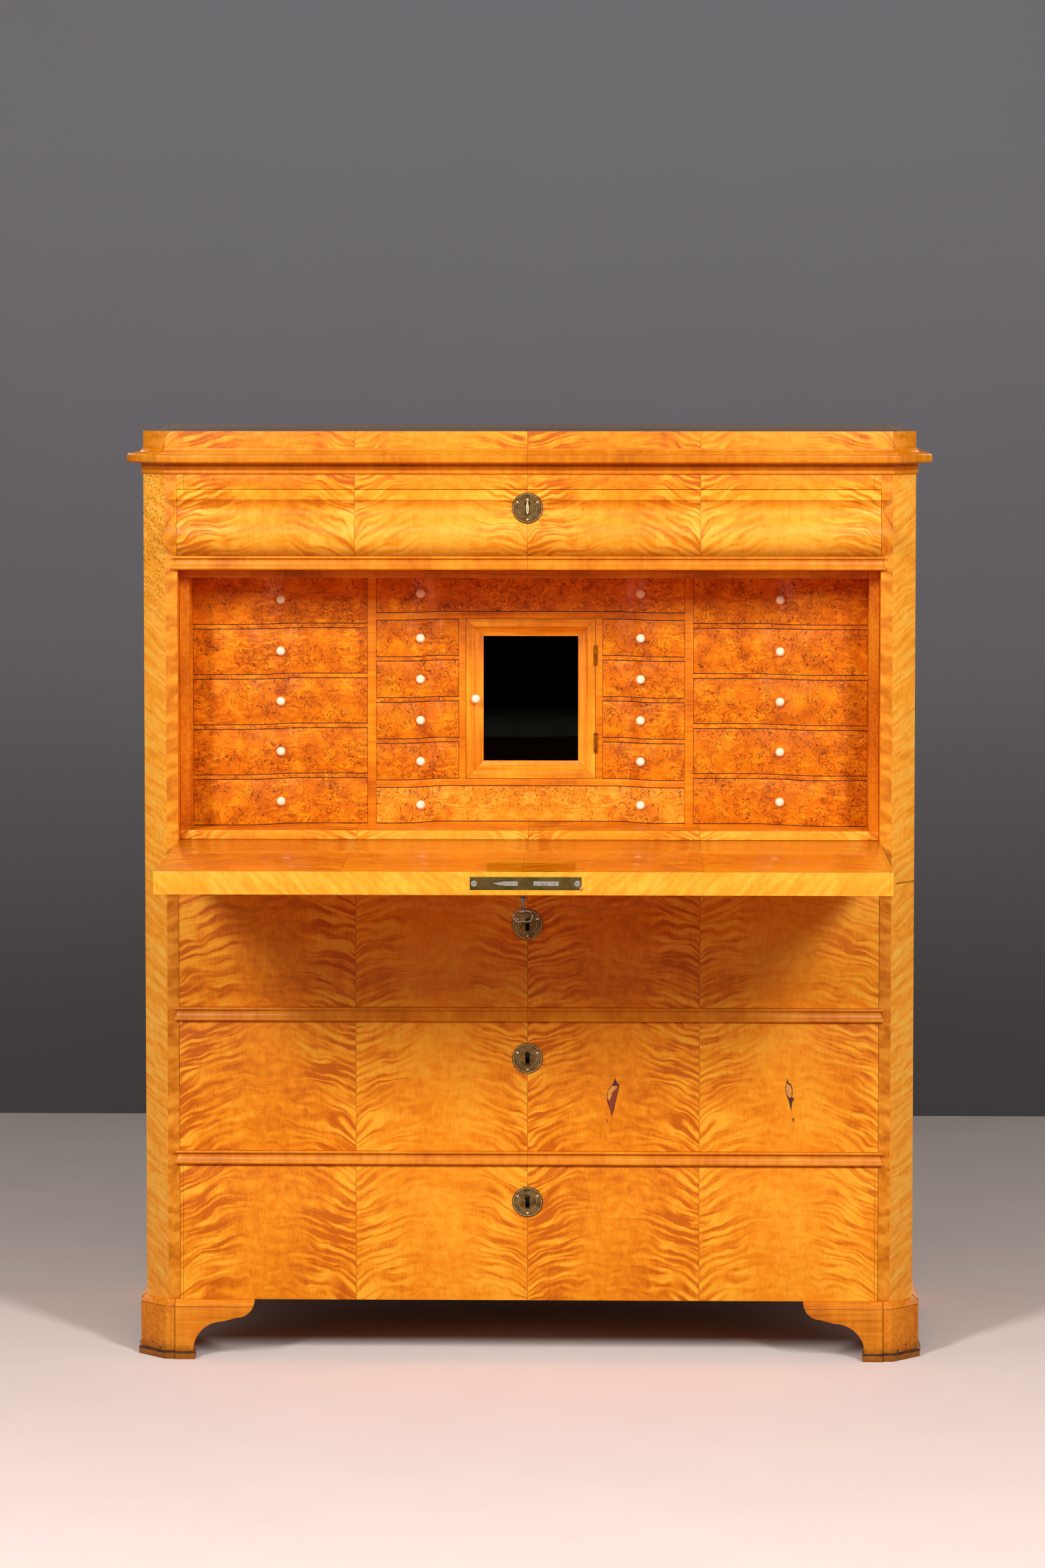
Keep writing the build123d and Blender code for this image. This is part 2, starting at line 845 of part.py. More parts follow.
front_bracket = bracket(elevation(front), bracket_outer, bracket_inner, bracket_projection, bracket_thick)
side_plane = Plane(origin=(half_case, 0, 0), x_dir=(0, 1, 0), z_dir=(1, 0, 0))
front_side_end = behind(foot_block_depth)
back_side_start = back - foot_block_depth
side_bracket = bracket(
    side_plane, front_side_end, front_side_end + bracket_length, bracket_projection, bracket_projection
)
front_feet = []
for piece in [front_block.part, front_plinth.part] + front_bracket + side_bracket:
    front_feet += both(piece)
save("front_feet", front_feet)
back_bracket = bracket(
    side_plane,
    back_side_start,
    back_side_start - bracket_length,
    bracket_projection,
    bracket_projection,
)
back_block = board(
    bracket_outer, half_case + foot_projection, back_side_start, back, 0, foot_height - bottom_thick
)
back_feet = []
for piece in [back_block] + back_bracket:
    back_feet += both(piece)
save("back_feet", back_feet)

# Hinge rail in front, bearers below the nest and the strip that closes them
hinge_rail = board(
    -half_opening, half_opening, front, behind(nest_setback), hinge_rail_low, fall_low - seat_gap
)
strip_low = behind(nest_setback + fall_thick / 4)
closing_strip = board(
    -half_opening, half_opening, strip_low, strip_low + closing_strip_thick, hinge_rail_low, nest_low
)
bearers = []
for share in bearer_places_share:
    place = share * half_opening
    bearers += both(
        board(
            place - bearer_width / 2,
            place + bearer_width / 2,
            strip_low + closing_strip_thick,
            behind(nest_back_depth),
            hinge_rail_low,
            nest_low,
        )
    )
save("nest_bearers", [hinge_rail, closing_strip] + bearers)

# Nest: its case, then the uprights, door posts and rails
nest_near = behind(nest_setback)
nest_far = behind(nest_back_depth)
nest_boards = [
    board(-nest_half, nest_half, nest_near, nest_far, nest_low, nest_floor),
    board(-nest_half, nest_half, nest_near, nest_far, nest_ceiling, nest_top),
    board(-nest_half, nest_half, nest_far, nest_far + nest_back_thick, nest_low, nest_top),
]
nest_boards += both(board(bank_outer, nest_half, nest_near, nest_far, nest_floor, nest_ceiling))
save("nest_case", nest_boards)
dividers = both(
    board(upright_inner, bank_inner, behind(middle_depth), nest_far, nest_floor, nest_ceiling)
)
dividers += both(
    board(
        door_post_inner,
        door_post_inner + door_post_thick,
        behind(centre_depth),
        nest_far,
        column_low,
        column_top,
    )
)
for low in (lower_centre_rail, column_top):
    dividers.append(nest_shelf(-upright_inner, upright_inner, 0, nest_back_depth, low, low + centre_rail))
bank_clear = nest_ceiling - nest_floor - 4 * bank_rail
bank_pitch = bank_drawer_share * bank_clear + bank_rail
bank_lows = [nest_floor + place * bank_pitch for place in range(5)]
for low in bank_lows[1:]:
    dividers += both(nest_shelf(bank_inner, bank_outer, 0, nest_back_depth, low - bank_rail, low))
column_inner = door_post_inner + door_post_thick
column_pitch = (column_height + column_rail) / 4
column_lows = [column_low + place * column_pitch for place in range(4)]
for low in column_lows[1:]:
    dividers += both(nest_shelf(column_inner, upright_inner, 0, nest_back_depth, low - column_rail, low))
save("nest_dividers", dividers)

# Nest drawers, counted from the top
bank_middle = (bank_inner + bank_outer) / 2
bank_highs = [low - bank_rail for low in bank_lows[1:]] + [nest_ceiling]
for count, (low, high) in enumerate(zip(bank_lows[::-1], bank_highs[::-1]), 1):
    save(f"nest_left_drawer_{count}", nest_drawer(-bank_outer, -bank_inner, low, high, [-bank_middle]))
    save(f"nest_right_drawer_{count}", nest_drawer(bank_inner, bank_outer, low, high, [bank_middle]))
for count, low in enumerate(column_lows[::-1], 1):
    high = low + column_pitch - column_rail
    for hand, near, far, place in (
        ("left", -upright_inner, -column_inner, -knob_place),
        ("right", column_inner, upright_inner, knob_place),
    ):
        save(f"small_{hand}_drawer_{count}", nest_drawer(near, far, low, high, [place]))
wide_knobs = [-knob_place, knob_place]
save(
    "wide_top_drawer",
    nest_drawer(-upright_inner, upright_inner, upper_centre_rail, nest_ceiling, wide_knobs),
)
save(
    "wide_bottom_drawer",
    nest_drawer(-upright_inner, upright_inner, nest_floor, lower_centre_rail, wide_knobs),
)

# Door of the nest: a mitred frame, moulded towards the mirror, hinged on the right
door_face = behind(centre_depth)
door_low = column_low + running_gap
door_high = column_top - running_gap


def door_outline():
    """The frame's section: inwards from its edge, and out from the door's back."""
    Polyline(
        (0, 0),
        (0, door_thick),
        (door_flat, door_thick),
        (door_flat, door_thick - door_step),
    )
    ThreePointArc(
        (door_flat, door_thick - door_step),
        ((door_flat + door_member) / 2 - door_step, door_thick - door_hollow * 0.75),
        (door_member, door_thick - door_hollow),
    )
    Polyline(
        (door_member, door_thick - door_hollow),
        (door_member, door_thick - mirror_setback),
        (door_member - door_rebate, door_thick - mirror_setback),
        (door_member - door_rebate, 0),
        (0, 0),
    )


door_corners = [
    Vector(-door_half, door_face + door_thick, door_low),
    Vector(door_half, door_face + door_thick, door_low),
    Vector(door_half, door_face + door_thick, door_high),
    Vector(-door_half, door_face + door_thick, door_high),
]
hinge_places = (door_low + hinge_inset, door_high - hinge_inset - hinge_height)
door_members = []
for place in range(4):
    before, start, end, after = [door_corners[(place + step) % 4] for step in (-1, 0, 1, 2)]
    door_members.append(mitred_run(before, start, end, after, Vector(0, -1, 0), door_outline))
leaf_reach = door_face + hinge_leaf_width
with BuildPart() as hinge_stile:
    add(door_members[1])
    for low in hinge_places:
        with BuildSketch(Plane.XY.offset(low)):
            with BuildLine():
                Polyline(
                    (door_half - hinge_leaf_thick, door_face),
                    (door_half + cut_overrun, door_face),
                    (door_half + cut_overrun, leaf_reach),
                    (door_half - hinge_leaf_thick, leaf_reach),
                    close=True,
                )
            make_face()
        extrude(amount=hinge_height, mode=Mode.SUBTRACT)
door_knob_place = -door_half + door_knob_setback
door_middle = (door_low + door_high) / 2
with BuildPart() as knob_stile:
    add(door_members[3])
    with BuildSketch(elevation(door_face + door_thick)):
        with Locations((door_knob_place, door_middle)):
            Circle(knob_stem_radius + pin_gap)
    extrude(amount=door_thick + door_thick, mode=Mode.SUBTRACT)
save("door_frame", [door_members[0], hinge_stile.part, door_members[2], knob_stile.part])
mirror_edge = door_member - door_rebate
mirror_face = door_face + mirror_setback
mirror_plate = board(
    -door_half + mirror_edge,
    door_half - mirror_edge,
    mirror_face,
    mirror_face + mirror_thick,
    door_low + mirror_edge,
    door_high - mirror_edge,
)
mirror_backing = board(
    -door_half + mirror_edge,
    door_half - mirror_edge,
    mirror_face + mirror_thick,
    door_face + door_thick,
    door_low + mirror_edge,
    door_high - mirror_edge,
)
save("door_mirror", [mirror_plate, mirror_backing])
door_knob_stem = door_flat
save("door_knob", [knob(door_knob_place, door_face, door_middle, door_knob_stem)])
hinge_x = (door_half + door_post_inner) / 2
hinge_y = door_face - hinge_radius - seat_gap
hinges = []
for low in hinge_places:
    with BuildPart() as hinge:
        with BuildSketch(Plane.XY.offset(low)):
            with Locations((hinge_x, hinge_y)):
                Circle(hinge_radius)
            with BuildLine():
                Polyline(
                    (door_half - hinge_leaf_thick, hinge_y),
                    (door_half, hinge_y),
                    (door_half, leaf_reach),
                    (door_half - hinge_leaf_thick, leaf_reach),
                    close=True,
                )
            make_face()
        extrude(amount=hinge_height)
    hinges.append(hinge.part)
save("door_hinges", hinges)

# Fall, open: a core lipped at both ends, with a pocket for its lock


def fall_section(x_low, x_high):
    """A length of the fall, rounded about its pivot on the corner that turns in the case."""
    radius = fall_thick / 2
    rear = behind(fall_thick)
    with BuildPart() as piece:
        with BuildSketch(Plane.YZ.offset(x_low)):
            with BuildLine():
                Polyline(
                    (rear, pivot_height),
                    (rear, writing_height),
                    (free_edge, writing_height),
                    (free_edge, fall_low),
                    (rear - radius, fall_low),
                )
                RadiusArc((rear - radius, fall_low), (rear, pivot_height), -radius)
            make_face()
        extrude(amount=x_high - x_low)
    return piece.part


core_half = fall_half - lipping_thick
key_y = free_edge + key_setback
outer_face = Plane(
    origin=(key_centre, key_y + keyhole_rise, fall_low), x_dir=(1, 0, 0), z_dir=(0, 0, -1)
)
edge_face = Plane(origin=(lock_centre, free_edge, pivot_height), x_dir=(1, 0, 0), z_dir=(0, -1, 0))
with BuildPart() as fall_core:
    add(fall_section(-core_half, core_half))
    with BuildSketch(edge_face):
        Rectangle(lock_case_length, lock_case_thick)
    extrude(amount=-lock_plate_thick - lock_case_depth, mode=Mode.SUBTRACT)
    with BuildSketch(edge_face):
        Rectangle(lock_plate_length, lock_plate_height)
    extrude(amount=-lock_plate_thick, mode=Mode.SUBTRACT)
    with BuildSketch(edge_face):
        with Locations((-lock_screw_spacing / 2, 0), (lock_screw_spacing / 2, 0)):
            Circle(lock_screw_shank)
    extrude(amount=-lock_screw_length, mode=Mode.SUBTRACT)
    with BuildSketch(outer_face):
        keyhole_shape()
    extrude(amount=-fall_thick / 2, mode=Mode.SUBTRACT)
    with BuildSketch(Plane.YZ.offset(core_half)):
        with Locations((behind(pivot_depth), pivot_height)):
            Circle(pin_radius)
    extrude(amount=-pin_depth, mode=Mode.SUBTRACT)
    with BuildSketch(Plane.YZ.offset(-core_half)):
        with Locations((behind(pivot_depth), pivot_height)):
            Circle(pin_radius)
    extrude(amount=pin_depth, mode=Mode.SUBTRACT)
plate_middle = behind(pivot_depth) - pivot_plate_ahead + pivot_plate_length / 2
with BuildPart() as lipping:
    add(fall_section(core_half, fall_half))
    with BuildSketch(Plane.YZ.offset(fall_half)):
        with Locations((plate_middle, pivot_height)):
            Rectangle(pivot_plate_length, pivot_plate_height)
    extrude(amount=-pivot_plate_thick, mode=Mode.SUBTRACT)
    with BuildSketch(Plane.YZ.offset(fall_half)):
        with Locations((behind(pivot_depth), pivot_height)):
            Circle(pin_radius)
    extrude(amount=-lipping_thick, mode=Mode.SUBTRACT)
save("fall_panel", [fall_core.part] + both(lipping.part))
with BuildPart() as pivot:
    with BuildSketch(Plane.YZ.offset(fall_half)):
        with Locations((plate_middle, pivot_height)):
            Rectangle(pivot_plate_length, pivot_plate_height)
    extrude(amount=-pivot_plate_thick)
    with BuildSketch(Plane.YZ.offset(core_half - pin_depth)):
        with Locations((behind(pivot_depth), pivot_height)):
            Circle(pin_radius)
    extrude(amount=half_opening + pin_length - core_half + pin_depth)
save("fall_pivots", both(pivot.part))

# Fall lock: face plate, case and two screws, with the bolts and the key as moving pieces
bolt_places = [((side * bolt_spacing) / 2, 0) for side in (-1, 1)]
with BuildPart() as face_plate:
    with BuildSketch(edge_face):
        Rectangle(lock_plate_length, lock_plate_height)
        with Locations(*bolt_places):
            Rectangle(bolt_length + seat_gap, bolt_height + seat_gap, mode=Mode.SUBTRACT)
    extrude(amount=-lock_plate_thick)
    with BuildSketch(edge_face):
        with Locations((-lock_screw_spacing / 2, 0), (lock_screw_spacing / 2, 0)):
            Circle(lock_screw_radius)
    extrude(amount=-lock_plate_thick, mode=Mode.SUBTRACT)
case_face = edge_face.offset(-lock_plate_thick)
with BuildPart() as lock_case:
    with BuildSketch(case_face):
        Rectangle(lock_case_length, lock_case_thick)
    extrude(amount=-lock_case_depth)
    with BuildSketch(case_face):
        Rectangle(lock_case_length - lock_wall - lock_wall, lock_case_thick - lock_wall - lock_wall)
    extrude(amount=-lock_case_depth + lock_wall, mode=Mode.SUBTRACT)
    with BuildSketch(outer_face):
        keyhole_shape()
    extrude(amount=-fall_thick / 2, mode=Mode.SUBTRACT)
lock_screws = []
for side in (-1, 1):
    with BuildPart() as lock_screw:
        with BuildSketch(edge_face):
            with Locations((side * lock_screw_spacing / 2, 0)):
                Circle(lock_screw_radius)
        extrude(amount=-lock_plate_thick)
        with BuildSketch(edge_face):
            with Locations((side * lock_screw_spacing / 2, 0)):
                Rectangle(lock_screw_radius + lock_screw_radius, lock_screw_slot)
        extrude(amount=-lock_plate_thick / 3, mode=Mode.SUBTRACT)
        with BuildSketch(case_face):
            with Locations((side * lock_screw_spacing / 2, 0)):
                Circle(lock_screw_shank)
        extrude(amount=-lock_screw_length + lock_plate_thick)
    lock_screws.append(lock_screw.part)
save("fall_lock", [face_plate.part, lock_case.part] + lock_screws)
with BuildPart() as lock_bolts:
    with BuildSketch(edge_face.offset(bolt_stand)):
        with Locations(*bolt_places):
            Rectangle(bolt_length, bolt_height)
    extrude(amount=-bolt_depth - bolt_stand)
    with BuildSketch(edge_face.offset(-bolt_depth)):
        Rectangle(bolt_spacing + bolt_length, bolt_height)
    extrude(amount=-bolt_bar)
    with BuildSketch(edge_face.offset(-bolt_depth - bolt_bar)):
        Rectangle(bolt_tail_width, bolt_height)
    extrude(amount=-bolt_tail_length)
save("lock_bolts", [lock_bolts.part])

collar_high = fall_low - plate_thick - key_stand
collar_low = collar_high - key_collar_height
neck_low = collar_low - key_neck_length
bit_high = pivot_height + key_bit_height / 2
with BuildPart() as fall_key:
    with BuildSketch(Plane.XY.offset(neck_low)):
        with Locations((key_centre, key_y)):
            Circle(key_neck_radius)
    extrude(amount=key_neck_length)
    with BuildSketch(Plane.XY.offset(collar_low)):
        with Locations((key_centre, key_y)):
            Circle(key_collar_radius)
    extrude(amount=(key_collar_height - key_collar_groove) / 2)
    with BuildSketch(Plane.XY.offset(collar_high)):
        with Locations((key_centre, key_y)):
            Circle(key_collar_radius)
    extrude(amount=-(key_collar_height - key_collar_groove) / 2)
    with BuildSketch(Plane.XY.offset(collar_low)):
        with Locations((key_centre, key_y)):
            Circle(key_shank_radius)
    extrude(amount=bit_high - collar_low)
    with BuildSketch(Plane.XY.offset(bit_high)):
        with Locations((key_centre, key_y + key_bit_length / 2)):
            Rectangle(key_bit_thick, key_bit_length)
    extrude(amount=-key_bit_height)
    bow_height = neck_low - key_bow_radius + key_bow_wire
    with BuildSketch(elevation(key_y + key_bow_wire / 2)):
        with Locations(
            (key_centre - key_bow_spread, bow_height), (key_centre + key_bow_spread, bow_height)
        ):
            Circle(key_bow_radius)
        with Locations(
            (key_centre - key_bow_spread, bow_height), (key_centre + key_bow_spread, bow_height)
        ):
            Circle(key_bow_radius - key_bow_wire, mode=Mode.SUBTRACT)
    extrude(amount=key_bow_wire)
save("fall_key", [fall_key.part])
save("fall_escutcheon", [escutcheon(outer_face)] + plate_nails(outer_face))

# Long drawers, counted from the top
drawer_lows = (top_drawer_low, middle_drawer_low, bottom_drawer_low)
drawer_openings = (top_drawer_opening, middle_drawer_opening, bottom_drawer_opening)
drawer_half = half_opening - running_gap
box_start = behind(drawer_front_thick)
box_end = frame_low - drawer_back_gap
for count, opening_low, opening, share in zip("123", drawer_lows, drawer_openings, drawer_key_share):
    low = opening_low + seat_gap
    high = opening_low + opening - running_gap
    keyhole_face = Plane(
        origin=(key_centre, front, opening_low + opening * share),
        x_dir=(1, 0, 0),
        z_dir=(0, -1, 0),
    )
    with BuildPart() as drawer_front:
        with BuildSketch(elevation(front)):
            with BuildLine():
                Polyline(
                    (-drawer_half, low),
                    (drawer_half, low),
                    (drawer_half, high),
                    (-drawer_half, high),
                    close=True,
                )
            make_face()
        extrude(amount=-drawer_front_thick)
        with BuildSketch(keyhole_face):
            keyhole_shape()
        extrude(amount=-drawer_front_thick, mode=Mode.SUBTRACT)
    save(f"drawer_{count}_front", [drawer_front.part])
    save(f"drawer_{count}_box", drawer_box(drawer_half, box_start, box_end, low, high - drawer_side_drop))
    fittings = [escutcheon(keyhole_face), drawer_lock(keyhole_face)] + plate_nails(keyhole_face)
    save(f"drawer_{count}_fittings", fittings)

# Frieze drawer: an ogee front with a flat boss below its escutcheon
boss_height = frieze_drawer_low + frieze_drawer_opening * frieze_key_share
cover_stand = plate_thick + plate_ring_rise + seat_gap
boss_face = Plane(
    origin=(key_centre, front - boss_projection, boss_height), x_dir=(1, 0, 0), z_dir=(0, -1, 0)
)
with BuildPart() as ogee_front:
    with BuildSketch(section(drawer_half)):
        with BuildLine():
            trace(ogee_shares, lambda p, h: (p * ogee_projection, ogee_low + h * ogee_height))
            Polyline(
                (0, ogee_low),
                (-drawer_front_thick, ogee_low),
                (-drawer_front_thick, ogee_low + ogee_height),
                (0, ogee_low + ogee_height),
            )
        make_face()
    extrude(amount=drawer_half + drawer_half)
    with BuildSketch(boss_face):
        Circle(plate_radius + boss_gap)
    extrude(amount=ogee_projection, mode=Mode.SUBTRACT)
    with BuildSketch(boss_face):
        Circle(plate_radius)
    extrude(amount=-boss_projection)
    with BuildSketch(boss_face):
        keyhole_shape()
    extrude(amount=-boss_projection - drawer_front_thick, mode=Mode.SUBTRACT)
save("frieze_drawer_front", [ogee_front.part])
frieze_box_high = ogee_low + ogee_height - drawer_side_drop
save("frieze_drawer_box", drawer_box(drawer_half, box_start, box_end, ogee_low, frieze_box_high))
frieze_lock_face = boss_face.offset(-boss_projection)
with BuildPart() as frieze_escutcheon:
    add(escutcheon(boss_face))
    with BuildSketch(boss_face):
        with Locations((0, cover_pivot_rise)):
            Circle(cover_pin_radius)
    extrude(amount=cover_stand + cover_thick + seat_gap)
save(
    "frieze_fittings",
    [frieze_escutcheon.part, drawer_lock(frieze_lock_face)] + plate_nails(boss_face),
)
cover_face = boss_face.offset(cover_stand)
with BuildPart() as keyhole_cover:
    with BuildSketch(cover_face):
        with Locations((0, cover_pivot_rise)):
            Circle(cover_radius)
        with BuildLine():
            Polyline(
                (-cover_radius, cover_pivot_rise),
                (cover_radius, cover_pivot_rise),
                (cover_tip_radius, cover_pivot_rise - cover_length),
                (-cover_tip_radius, cover_pivot_rise - cover_length),
                close=True,
            )
        make_face()
        with Locations((0, cover_pivot_rise - cover_length)):
            Circle(cover_tip_radius)
        with Locations((0, cover_pivot_rise)):
            Circle(cover_pin_radius + pin_gap, mode=Mode.SUBTRACT)
    extrude(amount=cover_thick)
save("keyhole_cover", [keyhole_cover.part])
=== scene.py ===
# %% [markdown]
# # A fall front secretaire, dressed around its CAD frame
#
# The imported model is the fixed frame: it says where each board, drawer and fitting is.
# This lesson softens its edges, lays the figured birch veneers on it, adds the small metal and
# bone pieces, and lights it in a plain studio. Each step says what the real thing is first.

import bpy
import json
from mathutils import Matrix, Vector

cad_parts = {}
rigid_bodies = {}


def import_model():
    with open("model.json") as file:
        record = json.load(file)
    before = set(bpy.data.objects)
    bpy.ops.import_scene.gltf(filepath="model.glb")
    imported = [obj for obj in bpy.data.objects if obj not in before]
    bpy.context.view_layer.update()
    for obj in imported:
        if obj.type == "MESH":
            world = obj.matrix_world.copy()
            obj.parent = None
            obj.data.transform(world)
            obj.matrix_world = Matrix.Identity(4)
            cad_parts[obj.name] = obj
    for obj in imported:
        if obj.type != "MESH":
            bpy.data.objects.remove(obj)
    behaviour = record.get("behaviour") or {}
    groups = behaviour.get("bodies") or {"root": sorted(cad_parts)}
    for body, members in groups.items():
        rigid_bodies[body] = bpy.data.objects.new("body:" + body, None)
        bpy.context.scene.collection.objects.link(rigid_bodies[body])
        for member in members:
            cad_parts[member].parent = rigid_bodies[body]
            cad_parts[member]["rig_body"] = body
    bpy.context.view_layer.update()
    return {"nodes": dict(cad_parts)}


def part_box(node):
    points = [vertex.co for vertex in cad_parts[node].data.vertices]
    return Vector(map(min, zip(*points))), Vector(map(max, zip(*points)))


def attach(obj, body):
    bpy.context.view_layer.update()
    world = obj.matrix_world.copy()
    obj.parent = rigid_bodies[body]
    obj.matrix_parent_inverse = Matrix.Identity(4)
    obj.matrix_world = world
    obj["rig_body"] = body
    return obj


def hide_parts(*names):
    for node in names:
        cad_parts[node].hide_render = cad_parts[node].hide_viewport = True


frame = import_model()

# %% Modules and the few places that many cells share
import json
import math
import random

import bmesh
import bpy
from mathutils import Matrix, Vector

MM = 0.001
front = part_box("drawer_1_front")[0].y / MM
drawer_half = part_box("drawer_1_front")[1].x / MM
print("front plane at", round(front, 2), "mm; long drawers reach x =", round(drawer_half, 1), "mm")

# %% [markdown]
# ## Reading the boards out of a CAD node
#
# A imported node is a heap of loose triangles, and boards that touch share places but not
# corners. The triangles of one solid follow each other, so a solid is complete when every edge
# met so far has its partner. Reading them this way keeps touching boards apart, which a plain
# merge by distance would weld together.


# %% Split a node into its solids
STEPS = 1e6  # corners in the same step of a thousandth of a millimetre are one


def solids_of(name):
    """The closed solids of a CAD node, each as its corners and its triangles."""
    mesh = frame["nodes"][name].data
    places = [tuple(round(value * STEPS) for value in vertex.co) for vertex in mesh.vertices]
    solids, corners, faces, open_edges, seen = [], [], [], set(), {}
    for polygon in mesh.polygons:
        face = []
        for index in polygon.vertices:
            place = places[index]
            if place not in seen:
                seen[place] = len(corners)
                corners.append(mesh.vertices[index].co.copy())
            face.append(seen[place])
        if len(set(face)) < len(face):
            continue
        faces.append(face)
        for edge in zip(face, face[1:] + face[:1]):
            if edge[::-1] in open_edges:
                open_edges.remove(edge[::-1])
            else:
                open_edges.add(edge)
        if not open_edges:
            solids.append((corners, faces))
            corners, faces, seen = [], [], {}
    if faces:
        solids.append((corners, faces))
    return solids


print("solids of the corner posts:", len(solids_of("corner_posts")))

# %% [markdown]
# ## Boards with softened edges and a grain of their own
#
# No edge on old furniture is sharp: polish and hands round it to a fraction of a millimetre,
# and that thin curve is what catches the light along a board. Each solid is merged, its flat
# triangles are joined, and its sharp edges are bevelled. Each board also keeps a small map of
# its own, in millimetres, with the grain along its first axis and a random start, so that two
# boards beside each other never show the same piece of wood.
#
# A Bevel modifier on the whole node would ease the edges too, but it would also round the
# joints where boards touch, and it couldn't tell one board's grain from the next.


# %% Ease the boards of a node and give each one its own grain
FLAT = math.radians(0.5)  # triangles that meet at less than this are one flat face
LOG = 4000  # a board is cut from anywhere in this many millimetres of wood


def add_board(whole, wood, solid, grain, dice):
    """Copy one board into the whole, with each point's place in its own wood."""
    low, high = [
        Vector([end(vertex.co[axis] for vertex in solid.verts) for axis in range(3)])
        for end in (min, max)
    ]
    size = high - low
    along = "xyz".index(grain) if grain else max(range(3), key=lambda axis: size[axis])
    axes = [along] + [axis for axis in range(3) if axis != along]
    start = Vector([dice.uniform(0, LOG) for _ in range(3)])
    copies = {}
    for vertex in solid.verts:
        copy = whole.verts.new(vertex.co)
        copy[wood] = Vector([vertex.co[axis] for axis in axes]) / MM + start
        copies[vertex] = copy
    for face in solid.faces:
        whole.faces.new([copies[vertex] for vertex in face.verts])


def eased_mesh(name, solids, ease=0.4, grain=None, seed=1, turn=30):
    """One mesh of boards whose edges sharper than a turn are eased by some millimetres."""
    dice = random.Random(seed)
    sharpest = math.radians(turn)
    whole = bmesh.new()
    wood = whole.verts.layers.float_vector.new("wood")
    for corners, faces in solids:
        solid = bmesh.new()
        points = [solid.verts.new(corner) for corner in corners]
        for face in faces:
            try:
                solid.faces.new([points[index] for index in face])
            except ValueError:
                continue  # the same triangle, met twice
        bmesh.ops.dissolve_limit(
            solid, angle_limit=FLAT, verts=solid.verts, edges=solid.edges
        )
        if ease:
            sharp = [
                edge
                for edge in solid.edges
                if len(edge.link_faces) == 2 and edge.calc_face_angle(0) > sharpest
            ]
            bmesh.ops.bevel(
                solid, geom=sharp, offset=ease * MM, segments=2, profile=0.6,
                affect="EDGES", clamp_overlap=True,
            )
        add_board(whole, wood, solid, grain, dice)
        solid.free()
    mesh = bpy.data.meshes.new(name)
    whole.to_mesh(mesh)
    whole.free()
    mesh.shade_smooth()
    mesh.set_sharp_from_angle(angle=sharpest)
    return mesh


sample = eased_mesh("sample", solids_of("top_board"), ease=1.0)
print("the top board has", len(sample.polygons), "faces once its edges are eased")
bpy.data.meshes.remove(sample)


# %% Put a finished mesh in the place of its CAD node
def in_scene(name, data):
    """A new object that holds the data, linked to the scene."""
    thing = bpy.data.objects.new(name, data)
    bpy.context.scene.collection.objects.link(thing)
    return thing


def place_piece(name, mesh, node_name, materials, paint=None):
    """Put a finished mesh on the body of its CAD node and let it stand for that node."""
    piece = in_scene(name, mesh)
    for material in materials:
        mesh.materials.append(material)
    if paint:
        for polygon in mesh.polygons:
            polygon.material_index = paint(polygon.center / MM, polygon.normal)
    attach(piece, frame["nodes"][node_name]["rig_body"])
    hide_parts(node_name)
    return piece


def dress(node_name, slot, materials, paint=None, only=None, name=None, **how):
    """Replace a node, or some of its solids, with eased boards in the given materials."""
    solids = solids_of(node_name)
    if only is not None:
        solids = [solids[index] for index in only]
    label = name or node_name + "_eased"
    return place_piece(label, eased_mesh(label, solids, **how), node_name, materials, paint)


# %% [markdown]
# ## Colours and nodes
#
# Colours are given as sRGB hex values and turned to linear light by one function.
# Another adds a node, sets or links its inputs and gives back its output. A table says which
# inputs each kind takes, in which order. What a node gives can be added, multiplied and so on
# like a number, and each sign adds a Math node. A material could be wired by hand in the
# Shader Editor as well. Written down, a pattern reads like a sum, and twenty woods can share
# it. All sizes in the patterns are millimetres of real wood or metal.


# %% Colour, value and node
def tone(hex_colour):
    """An sRGB hex colour as linear red, green, blue and alpha."""
    channels = [int(hex_colour[start : start + 2], 16) / 255 for start in (1, 3, 5)]
    linear = [c / 12.92 if c <= 0.04045 else ((c + 0.055) / 1.055) ** 2.4 for c in channels]
    return (*linear, 1.0)


class Value:
    """A number, place or colour that a material works out at each point of a surface."""

    def __init__(self, socket):
        self.socket = socket

    def __add__(self, other):
        return node("ADD", self, other)

    def __sub__(self, other):
        return node("SUBTRACT", self, other)

    def __mul__(self, other):
        return node("MULTIPLY", self, other)

    def __truediv__(self, other):
        return node("DIVIDE", self, other)

    def __abs__(self):
        return node("ABSOLUTE", self)


